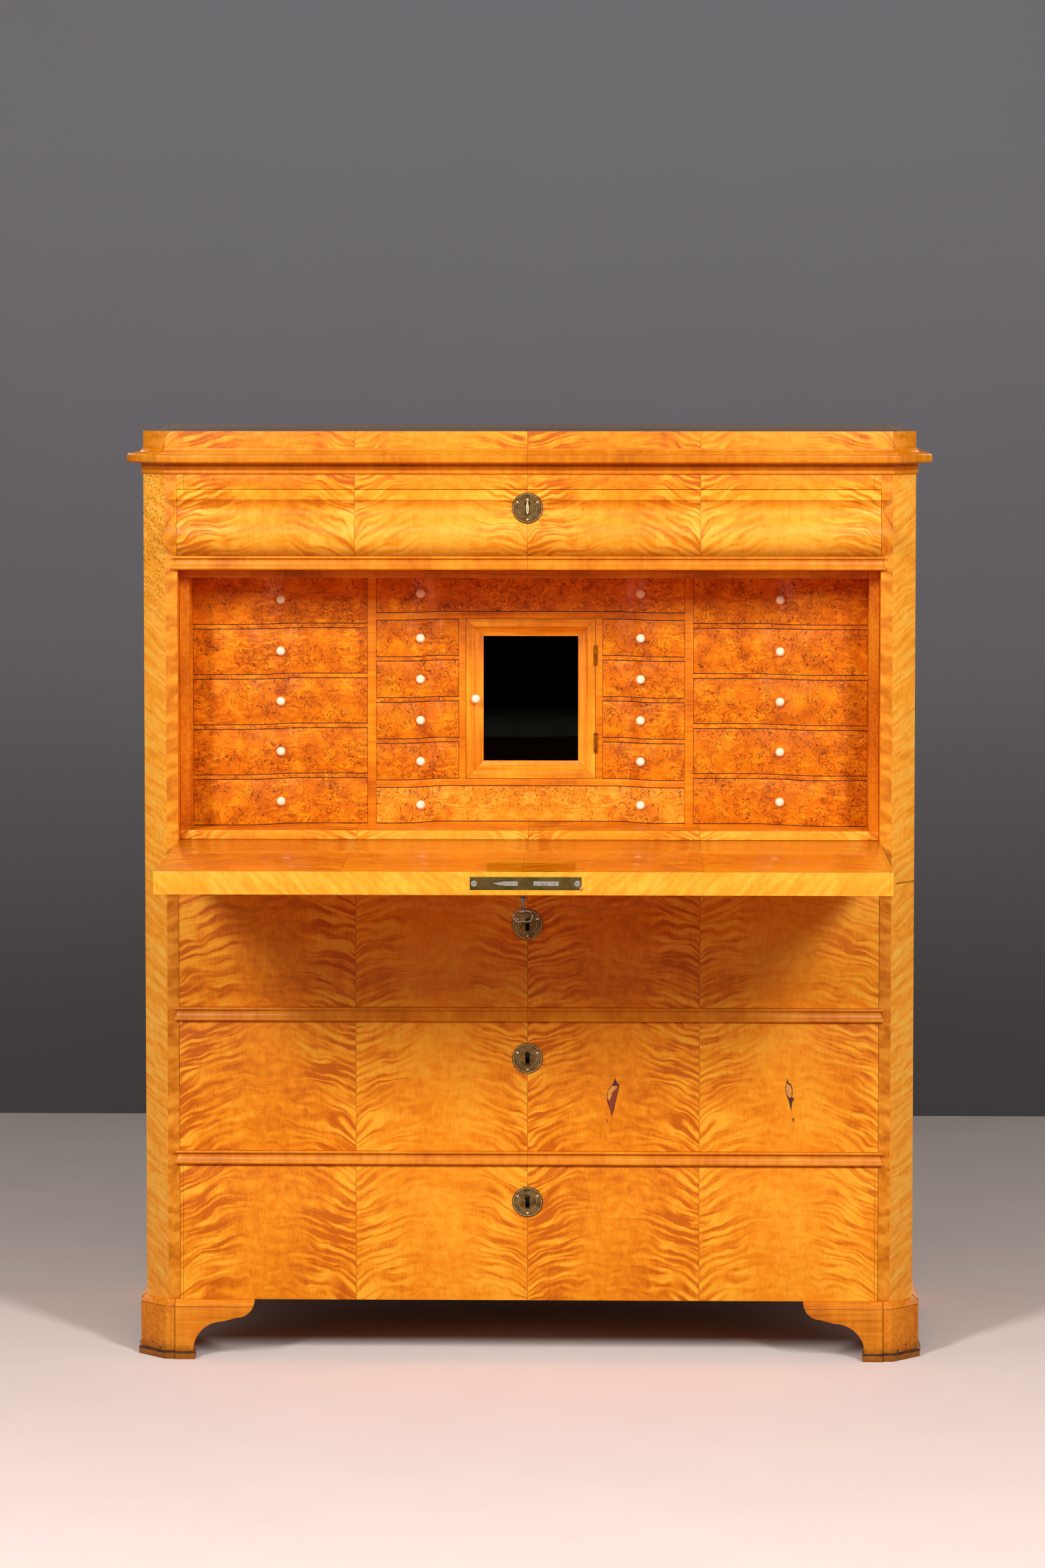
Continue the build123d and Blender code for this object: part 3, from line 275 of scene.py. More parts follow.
# Each kind: the node, its inputs in the order they are given, its outputs, and its settings.
RANGE = ("Value", "From Min", "From Max", "To Min", "To Max")
NOISE = ("Vector", "Scale", "Detail", "Roughness")
KINDS = {
    "own_place": ("TexCoord", (), "Object", {}),
    "wood_place": ("Attribute", (), "Vector", {"attribute_name": "wood"}),
    "place": ("CombineXYZ", (0, 1, 2), 0, {}),
    "split": ("SeparateXYZ", (0,), slice(0, 3), {}),
    "scale": ("VectorMath", (0, "Scale"), 0, {"operation": "SCALE"}),
    "noise": ("TexNoise", NOISE, 0, {}),
    "scatter": ("TexVoronoi", ("Vector", "Scale"), slice(0, 3), {"voronoi_dimensions": "2D"}),
    "fade": ("MapRange", RANGE, 0, {"interpolation_type": "SMOOTHSTEP"}),
    "stretch": ("MapRange", RANGE, 0, {"interpolation_type": "LINEAR"}),
    "blend": ("Mix", (0, 6, 7), 2, {"data_type": "RGBA"}),
    "relief": ("Bump", ("Height", "Strength", "Distance"), 0, {}),
}


def feed(made, inputs):
    """Set or link inputs of a node, each told by its name or its number."""
    for name, value in inputs.items():
        if isinstance(value, Value):
            made.id_data.links.new(value.socket, made.inputs[name])
        else:
            made.inputs[name].default_value = value


def node(kind, *inputs, tree=None):
    """Add a node of KINDS, or a Math node by its operation, and return what it gives."""
    name, sockets, out, settings = KINDS.get(kind, ("Math", (0, 1, 2), 0, {"operation": kind}))
    tree = tree or next(value.socket.id_data for value in inputs if isinstance(value, Value))
    made = tree.nodes.new("ShaderNode" + name)
    for setting, choice in settings.items():
        setattr(made, setting, choice)
    feed(made, dict(zip(sockets, inputs)))
    given = made.outputs[out]
    return [Value(socket) for socket in given] if isinstance(given, list) else Value(given)


print("kinds of node in the table:", len(KINDS))


# %% Patterns that many materials share
def new_material(name, numbers):
    """A material and its surface shader, with the shader's plain numbers set."""
    material = bpy.data.materials.new(name)
    material.use_nodes = True
    shader = material.node_tree.nodes["Principled BSDF"]
    feed(shader, numbers)
    return material, shader


def own_place(shader):
    """The point's place in the piece's own space, in millimetres."""
    return node("scale", node("own_place", tree=shader.id_data), 1 / MM)


def drift(place, size, detail=2.0, roughness=0.5):
    """Cloudy noise about nought, whose patches are about one size across."""
    return node("noise", place, 1 / size, detail, roughness) - 0.5


def run_through(value, stops):
    """A colour that runs evenly through stops, each a position and a colour."""
    (start, colour), *others = stops
    for position, following in others:
        colour = node("blend", node("stretch", value, start, position), colour, following)
        start = position
    return colour


def specks(x, z, apart, size, left_out):
    """Tiny dark dots in the cells of a scatter pattern, with a share of the cells left out."""
    distance, dice, _ = node("scatter", node("place", x / apart, z / apart), 1.0)
    dot = node("fade", distance, size / apart * 0.6, size / apart, 1.0, 0.0)
    return dot * node("fade", node("split", dice)[0], left_out, left_out + 0.01)


SATIN = {"Specular IOR Level": 0.22}  # old shellac and bare wood mirror less than new varnish
print("soft reflection of old wood:", SATIN["Specular IOR Level"])

# %% [markdown]
# ## Flamed birch veneer
#
# The fronts are veneered in flamed birch, whose fibres wave towards and away from the surface.
# Each wave mirrors the light a little differently, so pale and dark flames lie across the
# leaf. Four leaves, cut one after the other from the same log, are opened like a book, so the
# flames meet as chevrons at the seams. In the middle of a leaf they are flat and faint, and
# towards its edges they run down steeply and show most.
#
# Folding the width at the seams gives the book match. The height is bent into an arch within
# each leaf, and a noise that is long across and short in height draws the flames. A finer
# noise adds thin folds, and a very fine one the upright pores. A picture of veneer could be
# laid on instead, but a drawn figure stays sharp close by and needs no file of its own.

# %% Shades of polished birch, each from its dark to its light
LEAF = 258.5  # width of one leaf
SEAM = -1.5  # the middle seam stands a little left of the middle
POLISHED = ("#CC6404", "#F38E12", "#FFB22E")
DEEP = ("#D26400", "#FC8804", "#FFA008")
MOULDED = ("#AA5202", "#D87A0A", "#F09C20")
PALE = ("#EC931C", "#FBAA2C", "#FFC042")
POST = ("#E28A1C", "#FFA62E", "#FFC450")
STILE = ("#B8620A", "#DD8216", "#F2A030")
DOOR = ("#C86A0A", "#F29018", "#FFB030")
FRIEZE = ("#D67410", "#F79E22", "#FFBE42")
SIDES = ("#C06408", "#E88A16", "#F8A630")
FEET = ("#B45C08", "#DC7E14", "#EE9A28")
NEST = ("#B65602", "#E67E0A", "#FAA01A")
print("leaf width in mm:", LEAF)


# %% Flames, pores and polish
def flames(across, height, slice_number, strength, long_mm, short_mm):
    """Flames drawn over a bent height: broad ones, fine folds in them, and cloudy light."""
    sheet = node("place", across, height, slice_number)
    waves = []
    for size in (1.0, 0.45):
        wide, tall = long_mm * size, short_mm * size
        noise = node("noise", node("place", across / wide, height / tall, slice_number), 1.0, 0.4)
        waves.append(node("fade", noise, 0.33, 0.67, -0.5, 0.5))
    return (waves[0] + waves[1] * 0.3) * strength + drift(sheet, 14.0, 5.0, 0.6) * 1.35


def pore_lines(across, along):
    """Upright pores and hairlines, drawn coarser than real ones so that they still show."""
    return node("noise", node("place", across / 0.8, along / 30.0), 1.0)


def three_shades(figure, shades):
    """The dark, middle and light shade of a wood, spread over its figure."""
    return run_through(figure, zip((0.0, 0.5, 1.0), [tone(shade) for shade in shades]))


def polish(shader, figure, pores, shades, lines, gloss, marks=0.0):
    """Turn a figure into colour, a sheen that follows it and the faint relief of its pores."""
    shade = node("fade", pores, 0.3, 0.55, 0.86, 1.0) * lines
    colour = node("scale", three_shades(figure, shades), shade)
    feed(shader, {
        "Base Color": node("blend", marks, colour, tone("#4A1800")),
        "Roughness": node("stretch", figure, 0.0, 1.0, gloss + 0.07, gloss - 0.03),
        "Normal": node("relief", pores, 0.06, 0.0002),
    })


print("the middle shade in linear light:", [round(part, 3) for part in tone(POLISHED[1])])


# %% Book-matched leaves
def matched_birch(name, along, shades=POLISHED, gloss=0.42, coat=0.02, size=(62.0, 7.0),
                  strip=0.0, low=None):
    """Four book-matched leaves of flamed birch side by side, polished with shellac."""
    material, shader = new_material(name, {"Coat Weight": coat, "Coat Roughness": 0.08, **SATIN})
    parts = node("split", own_place(shader))
    x, height = parts[0], parts["XYZ".index(along)]
    from_middle = abs(x - SEAM)
    from_side = abs(from_middle - LEAF)
    centred = from_side - LEAF / 2
    leaf_number = node("FLOOR", node("MINIMUM", node("MAXIMUM", (x - SEAM) / LEAF, -1.99), 1.99))
    slice_number = leaf_number * 0.16
    turned_over = node("PINGPONG", leaf_number, 1.0)
    sheet = node("place", centred, height, slice_number)
    # An arch in each leaf, a slow wander and a small wobble bend the height, all in millimetres.
    arch = centred * centred * 0.0021
    bent = height + arch + drift(sheet, 90.0) * 60.0 + drift(sheet, 30.0) * 6.0
    # The flames are strongest at a leaf's edges, and come and go in patches.
    patches = node("fade", node("noise", sheet, 1 / 55), 0.36, 0.62, 0.5, 1.15)
    strength = node("fade", abs(centred), 10.0, 120.0, 0.18, 1.25) * patches
    fibre = node("place", centred, height / 9.0, slice_number)
    # A leaf that is turned over mirrors light where its neighbour is dark.
    figure = flames(centred, bent, slice_number, strength, *size) * (turned_over * -1.5 + 0.85)
    figure = figure + drift(fibre, 1.2) * 0.35 + drift(sheet, 130.0) * 1.1
    figure = figure + turned_over * 0.2 + 0.42
    # A dark hairline stands at each seam, and where an end strip begins.
    nearest = node("MINIMUM", from_middle, from_side)
    if strip:
        nearest = node("MINIMUM", nearest, abs(abs(x) - (drawer_half - strip)))
    lines = node("fade", nearest, 0.2, 0.8, 0.55, 1.0)
    # Painted shade: the lowest 20 mm darken where the ogee turns under, away from the lamps.
    if low:
        lines = lines * node("fade", height, low, low + 20, 0.72, 1.0)
    # Small dark marks of age: a few larger ones, and fine ones here and there.
    marks = node("MAXIMUM", specks(x, height, 38.0, 1.1, 0.8), specks(x, height, 9.0, 0.8, 0.97))
    polish(shader, figure, pore_lines(centred, height), shades, lines, gloss, marks * 0.5)
    return material


frieze_low, frieze_high = [corner.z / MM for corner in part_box("frieze_drawer_front")]
FINE = (50.0, 5.6)  # flames of the narrow leaves, long and short way
# Lively gold flames in chevrons, under a soft sheen.
front_veneer = matched_birch("flamed_birch_front", "Z")
# The same, closed by a hairline where the end strips begin.
banded_veneer = matched_birch("flamed_birch_front_with_end_strips", "Z", strip=4.5)
# Small flames below the frieze drawer, ended by the same hairline.
rail_veneer = matched_birch("flamed_birch_frieze_rail", "Z", strip=9.7, size=FINE)
# A paler gold with painted shade where the ogee turns under, away from the lamps.
frieze_veneer = matched_birch("flamed_birch_frieze", "Z", FRIEZE, size=FINE, low=frieze_low)
# Flames small and close enough for a narrow board.
attic_veneer = matched_birch("flamed_birch_attic", "Z", size=FINE)
# A wet, deep orange: a surface kept shut keeps its thick, shining polish.
fall_veneer = matched_birch("flamed_birch_writing_surface", "Y", DEEP, 0.28, coat=0.45)
# The outside has stood in the light as long as the drawers and matches them.
outside_veneer = matched_birch("flamed_birch_fall_outside", "Y")
# Brown gold in the shade of the nest, smooth as the writing surface.
floor_veneer = matched_birch("flamed_birch_nest_floor", "Y", NEST, 0.3)
# A thin light line between the writing surface and the dark nest.
strip_veneer = matched_birch("flamed_birch_nest_edge", "Z", FRIEZE, 0.34, size=(40.0, 5.0))
print("frieze drawer from", round(frieze_low, 1), "to", round(frieze_high, 1), "mm above the floor")

# %% [markdown]
# ## Narrow leaves and mouldings
#
# Posts, sides and the fall's free edge carry single leaves whose ripples lean down towards the
# outside, alike on both sides of the case. Each side could have a material of its own, but
# folding the width at the middle mirrors the figure in one. The mouldings are covered with
# birch laid across them, so that its ripples stand upright along the run. The right post has a
# crack across it, and the left one a patch of dark flecks.


# %% Leaning and upright ripples
def rippled_birch(name, tilt, shades, contrast, size, slice_at, wide=0, crack=0.0):
    """A narrow leaf of birch with ripples that lean the same way on both sides of the case."""
    material, shader = new_material(name, {"Coat Weight": 0.03, "Coat Roughness": 0.15, **SATIN})
    parts = node("split", own_place(shader))
    x, z = parts[0], parts[2]
    across = abs(parts[wide])
    wander = drift(node("place", across, z, slice_at), 60.0)
    bent = across * tilt + z + wander * 30.0
    figure = flames(across, bent, slice_at, contrast, *size) + 0.55
    marks = specks(parts[wide], z, 26.0, 1.0, 0.72)
    if crack:
        # The crack crosses the right post only, and the flecks lie high on the left one.
        level = x * -0.07 + z + wander * 4.0 - crack
        line = node("fade", abs(level), 0.9, 1.7, 1.0, 0.0) * node("fade", x, 549.0, 553.0)
        high_left = node("fade", z, 1080.0, 1180.0) * node("fade", x, -540.0, -545.0)
        flecks = specks(x * 1.6, z, 5.0, 1.6, 0.5) * high_left
        marks = node("MAXIMUM", node("MAXIMUM", marks, line), flecks)
    polish(shader, figure, pore_lines(across, z), shades, 1.0, 0.36, marks * 0.6)
    return material


def cross_birch(name):
    """Birch laid across a moulding, so that its ripples stand upright along the run."""
    material, shader = new_material(name, {"Coat Weight": 0.02, "Coat Roughness": 0.2, **SATIN})
    place = own_place(shader)
    x, y, z = node("split", place)
    figure = drift(node("place", x, z / 5.0, y), 9.0) * 0.7 + drift(place, 70.0) * 1.1 + 0.62
    joint = node("fade", abs(x - SEAM), 0.15, 0.6, 0.5, 1.0)
    polish(shader, figure, pore_lines(z, x), MOULDED, joint, 0.36)
    return material


# The brightest wood of the case, because its slant catches the lamps.
cant_veneer = rippled_birch("flamed_birch_cant", -0.7, POST, 0.38, (60.0, 8.0), 0.0, crack=683.0)
# Quieter and browner beside the drawers, so that it frames them.
stile_veneer = rippled_birch("flamed_birch_stile", 0.25, STILE, 0.5, (40.0, 15.0), 3.0)
# One calm ripple over the whole side, so that the front stays the liveliest face.
side_veneer = rippled_birch("flamed_birch_side", 0.15, SIDES, 0.42, (120.0, 13.0), 8.0, wide=1)
# Pale gold, painted lighter for the light that the edge catches.
edge_veneer = rippled_birch("flamed_birch_fall_edge", -0.9, PALE, 0.35, (50.0, 12.0), 5.0)
# Short upright ripples that flicker along the run.
moulding_veneer = cross_birch("birch_moulding")
print("veneers:", [material.name for material in bpy.data.materials if "birch" in material.name])

# %% [markdown]
# ## Plain birch
#
# The parts between the drawers are plain solid birch, softer in gloss, with a straight grain
# and a few ripples. On Object coordinates the figure would run straight on from one board into
# the next. It follows each board's own map instead, so that the grain runs along the board.
# The feet have taken up dirt from the floor, which darkens them from below in an uneven line.

# %% Solid birch
FOOT_JOINT, FOOT_CAP = 533.8, 79.5  # the foot's upright joint and the seat of its cap
FOOT_HOLES = (((570.2, 20.8), 1.6), ((557.1, 14.7), 2.0))  # place and radius


def plain_birch(name, shades, gloss, floor_dirt_and_joint_shade=False, mitre=None):
    """Solid birch, lightly polished: long soft fibres with a few weak ripples across them."""
    numbers = {"Coat Weight": 0.02, "Coat Roughness": 0.15, "Specular IOR Level": 0.25}
    material, shader = new_material(name, numbers)
    place = node("wood_place", tree=shader.id_data)
    along, across, deep = node("split", place)
    fibres = drift(node("place", along / 90.0, across / 5.0, deep / 5.0), 1.0, 3.0, 0.6)
    ripples = drift(node("place", along / 8.0, across / 40.0, deep / 40.0), 1.0, 1.0)
    figure = fibres * 1.3 + ripples * 0.35 + drift(place, 120.0) * 1.6 + 0.5
    marks = specks(along, across, 30.0, 0.9, 0.8) * 0.7
    shade = 1.0
    if floor_dirt_and_joint_shade or mitre:
        case = own_place(shader)
        x, _, z = node("split", case)
    if floor_dirt_and_joint_shade:
        side = abs(x)
        for (hole_x, hole_z), radius in FOOT_HOLES:
            aside, above = side - hole_x, z - hole_z
            distance = node("SQRT", aside * aside + above * above)
            hole = node("fade", distance, radius * 0.7, radius, 1.0, 0.0)
            marks = node("MAXIMUM", marks, hole)
        # Dark lines at the upright joint and under the cap: joint dirt with painted shade of the
        # step and the crease.
        for measure, level in ((side, FOOT_JOINT), (z, FOOT_CAP)):
            gap = node("fade", abs(measure - level), 0.2, 1.3, 0.55, 0.0)
            marks = node("MAXIMUM", marks, gap)
        # Noise lifts and lowers the upper limit of the dirt.
        shade = node("fade", node("noise", case, 1 / 11, 4.0) * 26.0 + z, 16.0, 42.0, 0.4, 1.0)
    if mitre:
        # On a mitre, a point lies as far above the frame's middle as it lies aside of it.
        off = abs(z - mitre[2]) - abs(x - mitre[0]) - mitre[1]
        shade = node("fade", abs(off), 0.15, 0.6, 0.45, 1.0)
    polish(shader, figure, pore_lines(across, along), shades, shade, gloss, marks)
    return material


door_low, door_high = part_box("door_frame")
door_middle, door_size = (door_low + door_high) / 2 / MM, (door_high - door_low) / MM
door_mitre = (door_middle.x, (door_size.z - door_size.x) / 2, door_middle.z)
# Calm brown gold, so that the burr fronts beside it stand out.
birch = plain_birch("plain_birch", NEST, 0.38)
# A little paler, with a hairline from corner to corner where the frame is mitred.
door_birch = plain_birch("plain_birch_door", DOOR, 0.34, mitre=door_mitre)
# Dull and browned, nearly black at the floor.
foot_birch = plain_birch("worn_birch_feet", FEET, 0.45, floor_dirt_and_joint_shade=True)
# The same gold as the fronts, without their flames, behind and beside them.
dark_birch = plain_birch("plain_birch_shaded", POLISHED, 0.42)
print("door frame", [round(value) for value in door_size], "mm")

# %% [markdown]
# ## Burr birch
#
# The small drawer fronts are burr birch: the tree grew round countless bark inclusions, which
# the knife cuts as short dark curls in a cloudy golden ground. Noise alone would give the
# clouds but no curls. So a scatter pattern gives each curl its place and lean, and a noise
# pushes the whole sheet about, so that no two curls are alike. The wide drawer below the door
# is two leaves, mirrored at its middle.

# %% Curls in a golden ground
KINDS["noise_colours"] = ("TexNoise", NOISE, 1, {})
KINDS["away"] = ("VectorMath", (0, 1), 0, {"operation": "SUBTRACT"})
KINDS["stretched"] = ("VectorMath", (0, 1), 0, {"operation": "MULTIPLY"})
KINDS["leaning"] = ("VectorRotate", ("Vector", "Angle"), 0, {"rotation_type": "Z_AXIS"})
BURR = ("#B25000", "#E07606", "#FFA416")
PALE_BURR = ("#C66210", "#F4921C", "#FFBC40")
CURLS = (  # width, height, half the line's width, start, share left out
    (5.5, 17.0, 0.18, 1.3, 0.5),
    (4.0, 10.0, 0.24, 5.7, 0.6),
    (7.5, 25.0, 0.16, 9.1, 0.5),
    (3.0, 3.6, 0.4, 2.6, 0.78),
)


def squiggles(x, z, wide, tall, thin, start, left_out):
    """Leaning S-shaped lines in the cells of a scatter pattern, fainter to their ends."""
    place = node("place", x / wide + start, z / tall)
    _, dice, middle = node("scatter", place, 1.0)
    # How far the point is from the middle of its curl, with the curl stood upright.
    away = node("stretched", node("away", place, middle), (wide, tall, 0))
    lean, phase, chance = node("split", dice)
    aside, up, _ = node("split", node("leaning", away, (lean - 0.5) * 1.9))
    # A sine bends the line, and the end of each line is cut by its height.
    sway = node("SINE", up * (7.0 / tall) + phase * 6.3) * (wide * 0.24)
    line = node("fade", abs(aside - sway), thin, thin + 0.35, 1.0, 0.0)
    ends = node("fade", abs(up), tall * 0.32, tall * 0.5, 1.0, 0.0)
    return line * ends * node("fade", chance, left_out, left_out + 0.02)


def burr_birch(name, shades, mirrored=False):
    """Burr birch veneer: a cloudy golden ground with thin dark squiggles and flecks."""
    material, shader = new_material(name, SATIN)
    x, _, z = node("split", node("wood_place", tree=shader.id_data))
    if mirrored:
        x = abs(node("split", own_place(shader))[0] - SEAM)
    sheet = node("place", x, z, 3.0)
    push_x, push_z, _ = node("split", node("noise_colours", sheet, 1 / 11, 2.5))
    pushed_x, pushed_z = push_x * 17.0 + x, push_z * 17.0 + z
    dark = squiggles(pushed_x, pushed_z, *CURLS[0])
    for curls in CURLS[1:]:
        dark = node("MAXIMUM", dark, squiggles(pushed_x, pushed_z, *curls))
    thick = node("noise", sheet, 1 / 34)
    dark = dark * node("fade", thick, 0.34, 0.56, 0.3, 1.0)
    cloud = drift(node("place", pushed_x, pushed_z, 3.0), 30.0, 3.0, 0.55)
    streaks = drift(node("place", pushed_x / 20.0, pushed_z / 4.0), 1.0)
    streaky = node("fade", node("noise", sheet, 1 / 80, 1.0), 0.4, 0.62, 0.5, 1.9)
    ground = cloud * 1.3 + 0.5 + streaks * streaky + (thick - 0.5) * -0.6
    feed(shader, {
        "Base Color": node("blend", dark * 0.85, three_shades(ground, shades), tone("#541C00")),
        "Roughness": node("fade", dark, 0.0, 1.0, 0.36, 0.56),
        "Normal": node("relief", node("SUBTRACT", 1.0, dark), 0.08, 0.0003),
    })
    return material


# Honey gold alive with dark curls, matt where the bark is cut.
burr = burr_birch("burr_birch", BURR)
# Paler, and the same on both sides of the middle.
matched_burr = burr_birch("burr_birch_book_matched", PALE_BURR, mirrored=True)
print("layers of curls:", len(CURLS))

# %% [markdown]
# ## Pine, dirt, painted gap shade and torn wood
#
# Boxes, dust boards and the back are pine, unpolished and browned by air and hands. Its growth
# rings are long wavy lines. A wave texture would draw them too evenly, so a slow noise is
# folded back and forth. Wax and dust gather along the edges of the fronts, painted darker still
# as the shade of the gaps between them. Two chips show glue and bare wood. Those surfaces are so
# small that two close colours in patches do.


# %% The woods inside and the dark edges
def old_pine(name, light, dark, gloss):
    """Unpolished pine, browned by air and hands: growth rings as long wavy lines."""
    material, shader = new_material(name, SATIN)
    place = node("wood_place", tree=shader.id_data)
    along, across, deep = node("split", place)
    wander = node("noise", node("place", along / 700.0, across / 110.0, deep / 110.0), 1.0, 1.0)
    late = node("fade", node("PINGPONG", wander * 130.0 + across * 0.5, 3.2), 0.0, 3.2)
    fibre = node("noise", node("place", along / 60.0, across, deep), 1 / 1.4)
    figure = late * 0.55 + fibre * 0.35 + drift(place, 170.0, 4.0, 0.6) * 0.9
    feed(shader, {
        "Base Color": run_through(figure, ((0.1, tone(dark)), (0.95, tone(light)))),
        "Roughness": node("fade", figure, 0.0, 1.0, gloss + 0.12, gloss - 0.05),
        "Normal": node("relief", fibre, 0.15, 0.0004),
    })
    return material


def patchy(name, colour, other, size):
    """A small dull surface of two close colours, such as an edge dark with wax, dust and painted
    gap shade.
    """
    material, shader = new_material(name, {})
    patches = node("noise", own_place(shader), 1 / size, 4.0, 0.6)
    feed(shader, {
        "Base Color": node("blend", node("fade", patches, 0.4, 0.7), tone(colour), tone(other)),
        "Roughness": node("fade", patches, 0.3, 0.7, 0.8, 0.55),
    })
    return material


# Pale and dry, with soft stripes.
pine = old_pine("old_pine", "#E4B678", "#B57C3C", 0.62)
# Browner and flatter, as the back has stood against a wall.
brown_pine = old_pine("browned_pine", "#BE8E58", "#8C5E34", 0.62)
# Grey brown and quite dull under its dust.
dusty_top = old_pine("dusty_top_board", "#745643", "#523D2F", 0.7)
# A thin dark outline round each front: wax and dust with painted shade of the gap that sets it off
# from its neighbour.
wax_dirt_and_gap_shade = patchy("waxy_edge_and_painted_gap_shade", "#2C0D00", "#5A2402", 14.0)
# Fresh orange wood, brown glue and a nearly black rim make a chip look torn.
bare_birch = patchy("bare_birch_in_a_chip", "#E59A3E", "#C87722", 4.0)
old_glue = patchy("old_glue_in_a_chip", "#8E3608", "#6E2604", 5.0)
torn_edge = patchy("torn_veneer_edge", "#3A0E00", "#5A1C02", 3.0)
# A dull round spot, because end grain drinks the polish.
plug_wood = patchy("end_grain_plug", "#E09048", "#B86A28", 2.0)
print("rough surfaces:", [wood.name for wood in (pine, brown_pine, dusty_top, wax_dirt_and_gap_shade, plug_wood)])

# %% [markdown]
# ## Brass, steel, bone and mirror
#
# The round escutcheons are stamped from thin brass and have darkened to bronze in the hollows,
# while the beads are rubbed bright. The lock's face plate is olive brown brass, its bolts are
# grey steel, the hinges brown brass, and the key is dark iron with a worn bow. Knobs are
# turned bone, cream with faint streaks. The mirror is dark and has kept a slight green tint.
# One even colour would make each metal look new. All share one pattern of rubbed and
# tarnished patches and differ in colour, patch size and roughness.


# %% Metals, bone and glass
def worn_metal(name, bright, dark, rough, patch=6.0):
    """Metal with a patchy tarnish: bright where it is rubbed, dark and duller where it is not."""
    material, shader = new_material(name, {"Metallic": 1.0})
    place = own_place(shader)
    rubbed = node("fade", node("noise", place, 1 / patch, 5.0, 0.6), 0.34, 0.66)
    fine = node("noise", place, 12 / patch, 3.0)
    feed(shader, {
        "Base Color": node("blend", rubbed, tone(dark), tone(bright)),
        "Roughness": fine * 0.16 + node("fade", rubbed, 0.0, 1.0, rough + 0.12, rough - 0.06),
        "Normal": node("relief", fine, 0.05, 0.0002),
    })
    return material


def turned_bone(name):
    """Turned and polished bone: cream, with faint long streaks and a soft inner glow."""
    material, shader = new_material(name, {
        "Coat Weight": 0.2,
        "Coat Roughness": 0.1,
        "Subsurface Weight": 0.15,
        "Subsurface Radius": (0.004, 0.003, 0.0015),
        "Subsurface Scale": 0.5,
    })
    x, y, z = node("split", own_place(shader))
    streak = node("noise", node("place", x / 1.1, y, z / 6.0), 1.0, 3.0)
    feed(shader, {
        "Base Color": run_through(streak, ((0.2, tone("#EFDCAE")), (0.6, tone("#FFF6DC")))),
        "Roughness": node("fade", streak, 0.2, 0.8, 0.36, 0.24),
    })
    return material


def old_mirror(name):
    """Old mirror glass: dark, faintly green, with a slight haze in patches."""
    material, shader = new_material(name, {"Metallic": 1.0})
    haze = node("fade", node("noise", own_place(shader), 1 / 30, 4.0), 0.5, 0.75)
    feed(shader, {
        "Base Color": node("blend", haze, tone("#0C100D"), tone("#0A0D0B")),
        "Roughness": node("fade", haze, 0.0, 1.0, 0.03, 0.1),
    })
    return material


# Bright dots in a ring, the first thing the eye finds on a drawer.
bead_brass = worn_metal("rubbed_brass_beads", "#FFE9B4", "#D9B574", 0.3, 3.0)
# A quiet bronze ground for the beads.
plate_brass = worn_metal("bronzed_brass_plate", "#8C6E42", "#5C4424", 0.42, 12.0)
# Nearly black between the beads, patina with painted shade, so that each one stands out; also the
# painted shade behind the keyhole.
groove_patina_and_shade_brass = worn_metal("blackened_brass_and_painted_shade", "#4A3818", "#241A0C", 0.5, 5.0)
# Three pale points of light on each plate.
nail_brass = worn_metal("bright_brass_nails", "#F2E2B4", "#C8AA70", 0.3)
# A small brown gold gleam beside the mirror.
hinge_brass = worn_metal("golden_brass_hinges", "#A86A1A", "#74440C", 0.4)
# A broad dull olive plate, against which the key and the bolts show.
lock_brass = worn_metal("olive_brass_lock", "#6E5A30", "#524220", 0.45, 25.0)
# Cold grey beside all the warm brass.
bolt_steel = worn_metal("bright_steel_bolts", "#C2BDB4", "#8E887E", 0.36)
# A bright loop below the lock, because fingers rub it.
bright_bow = worn_metal("rubbed_steel_bow", "#C9C3BA", "#6E6860", 0.2, 5.0)
# A dark stem above it, and the dull cases of the locks.
key_iron = worn_metal("dark_iron_key", "#8A847A", "#4A4540", 0.36, 5.0)
# Small warm lights across the dark nest.
bone = turned_bone("polished_bone")
# A dark pane that shows only what stands before it.
mirror = old_mirror("old_mirror")
print("materials so far:", len(bpy.data.materials))

# %% [markdown]
# ## The case
#
# Posts, rails, cornice and drawer fronts show their veneer on the front and plain wood behind.
# The faces that look forward get the veneer, and every other face of the same board is the
# solid wood under it. The canted face of a post is a leaf of its own with leaning ripples.
# Faces could be picked by hand in Edit Mode. A small function for each board tells the finish
# from a face's middle and direction instead, and still holds when the frame changes.

# %% Which finish a face of the case has
KEY_HEIGHTS = (660.1, 457.4, 239.4)  # keyholes of the long drawers above the floor
KEYHOLE_REACH = (6, 14)  # a keyhole's walls lie this near its middle, aside and up
WORN_BELOW = 13  # the plinth's edges are dirty up to here


def faces_front(centre, normal):
    """0 for faces that look forward, 1 for the rest."""
    return 0 if normal.y < -0.25 else 1


def frieze_face(centre, normal):
    """0 for the ogee, 2 for its long edges against the rails, 1 for the rest."""
    if min(centre.z - frieze_low, frieze_high - centre.z) < 0.9 and -0.95 < normal.y < -0.1:
        return 2
    return faces_front(centre, normal)


def rail_face(centre, normal):
    """0 for faces that look forward, 2 for the rail's rounded lower edge, 1 for the rest."""
    return 2 if normal.z < -0.2 and -0.95 < normal.y < -0.1 else faces_front(centre, normal)


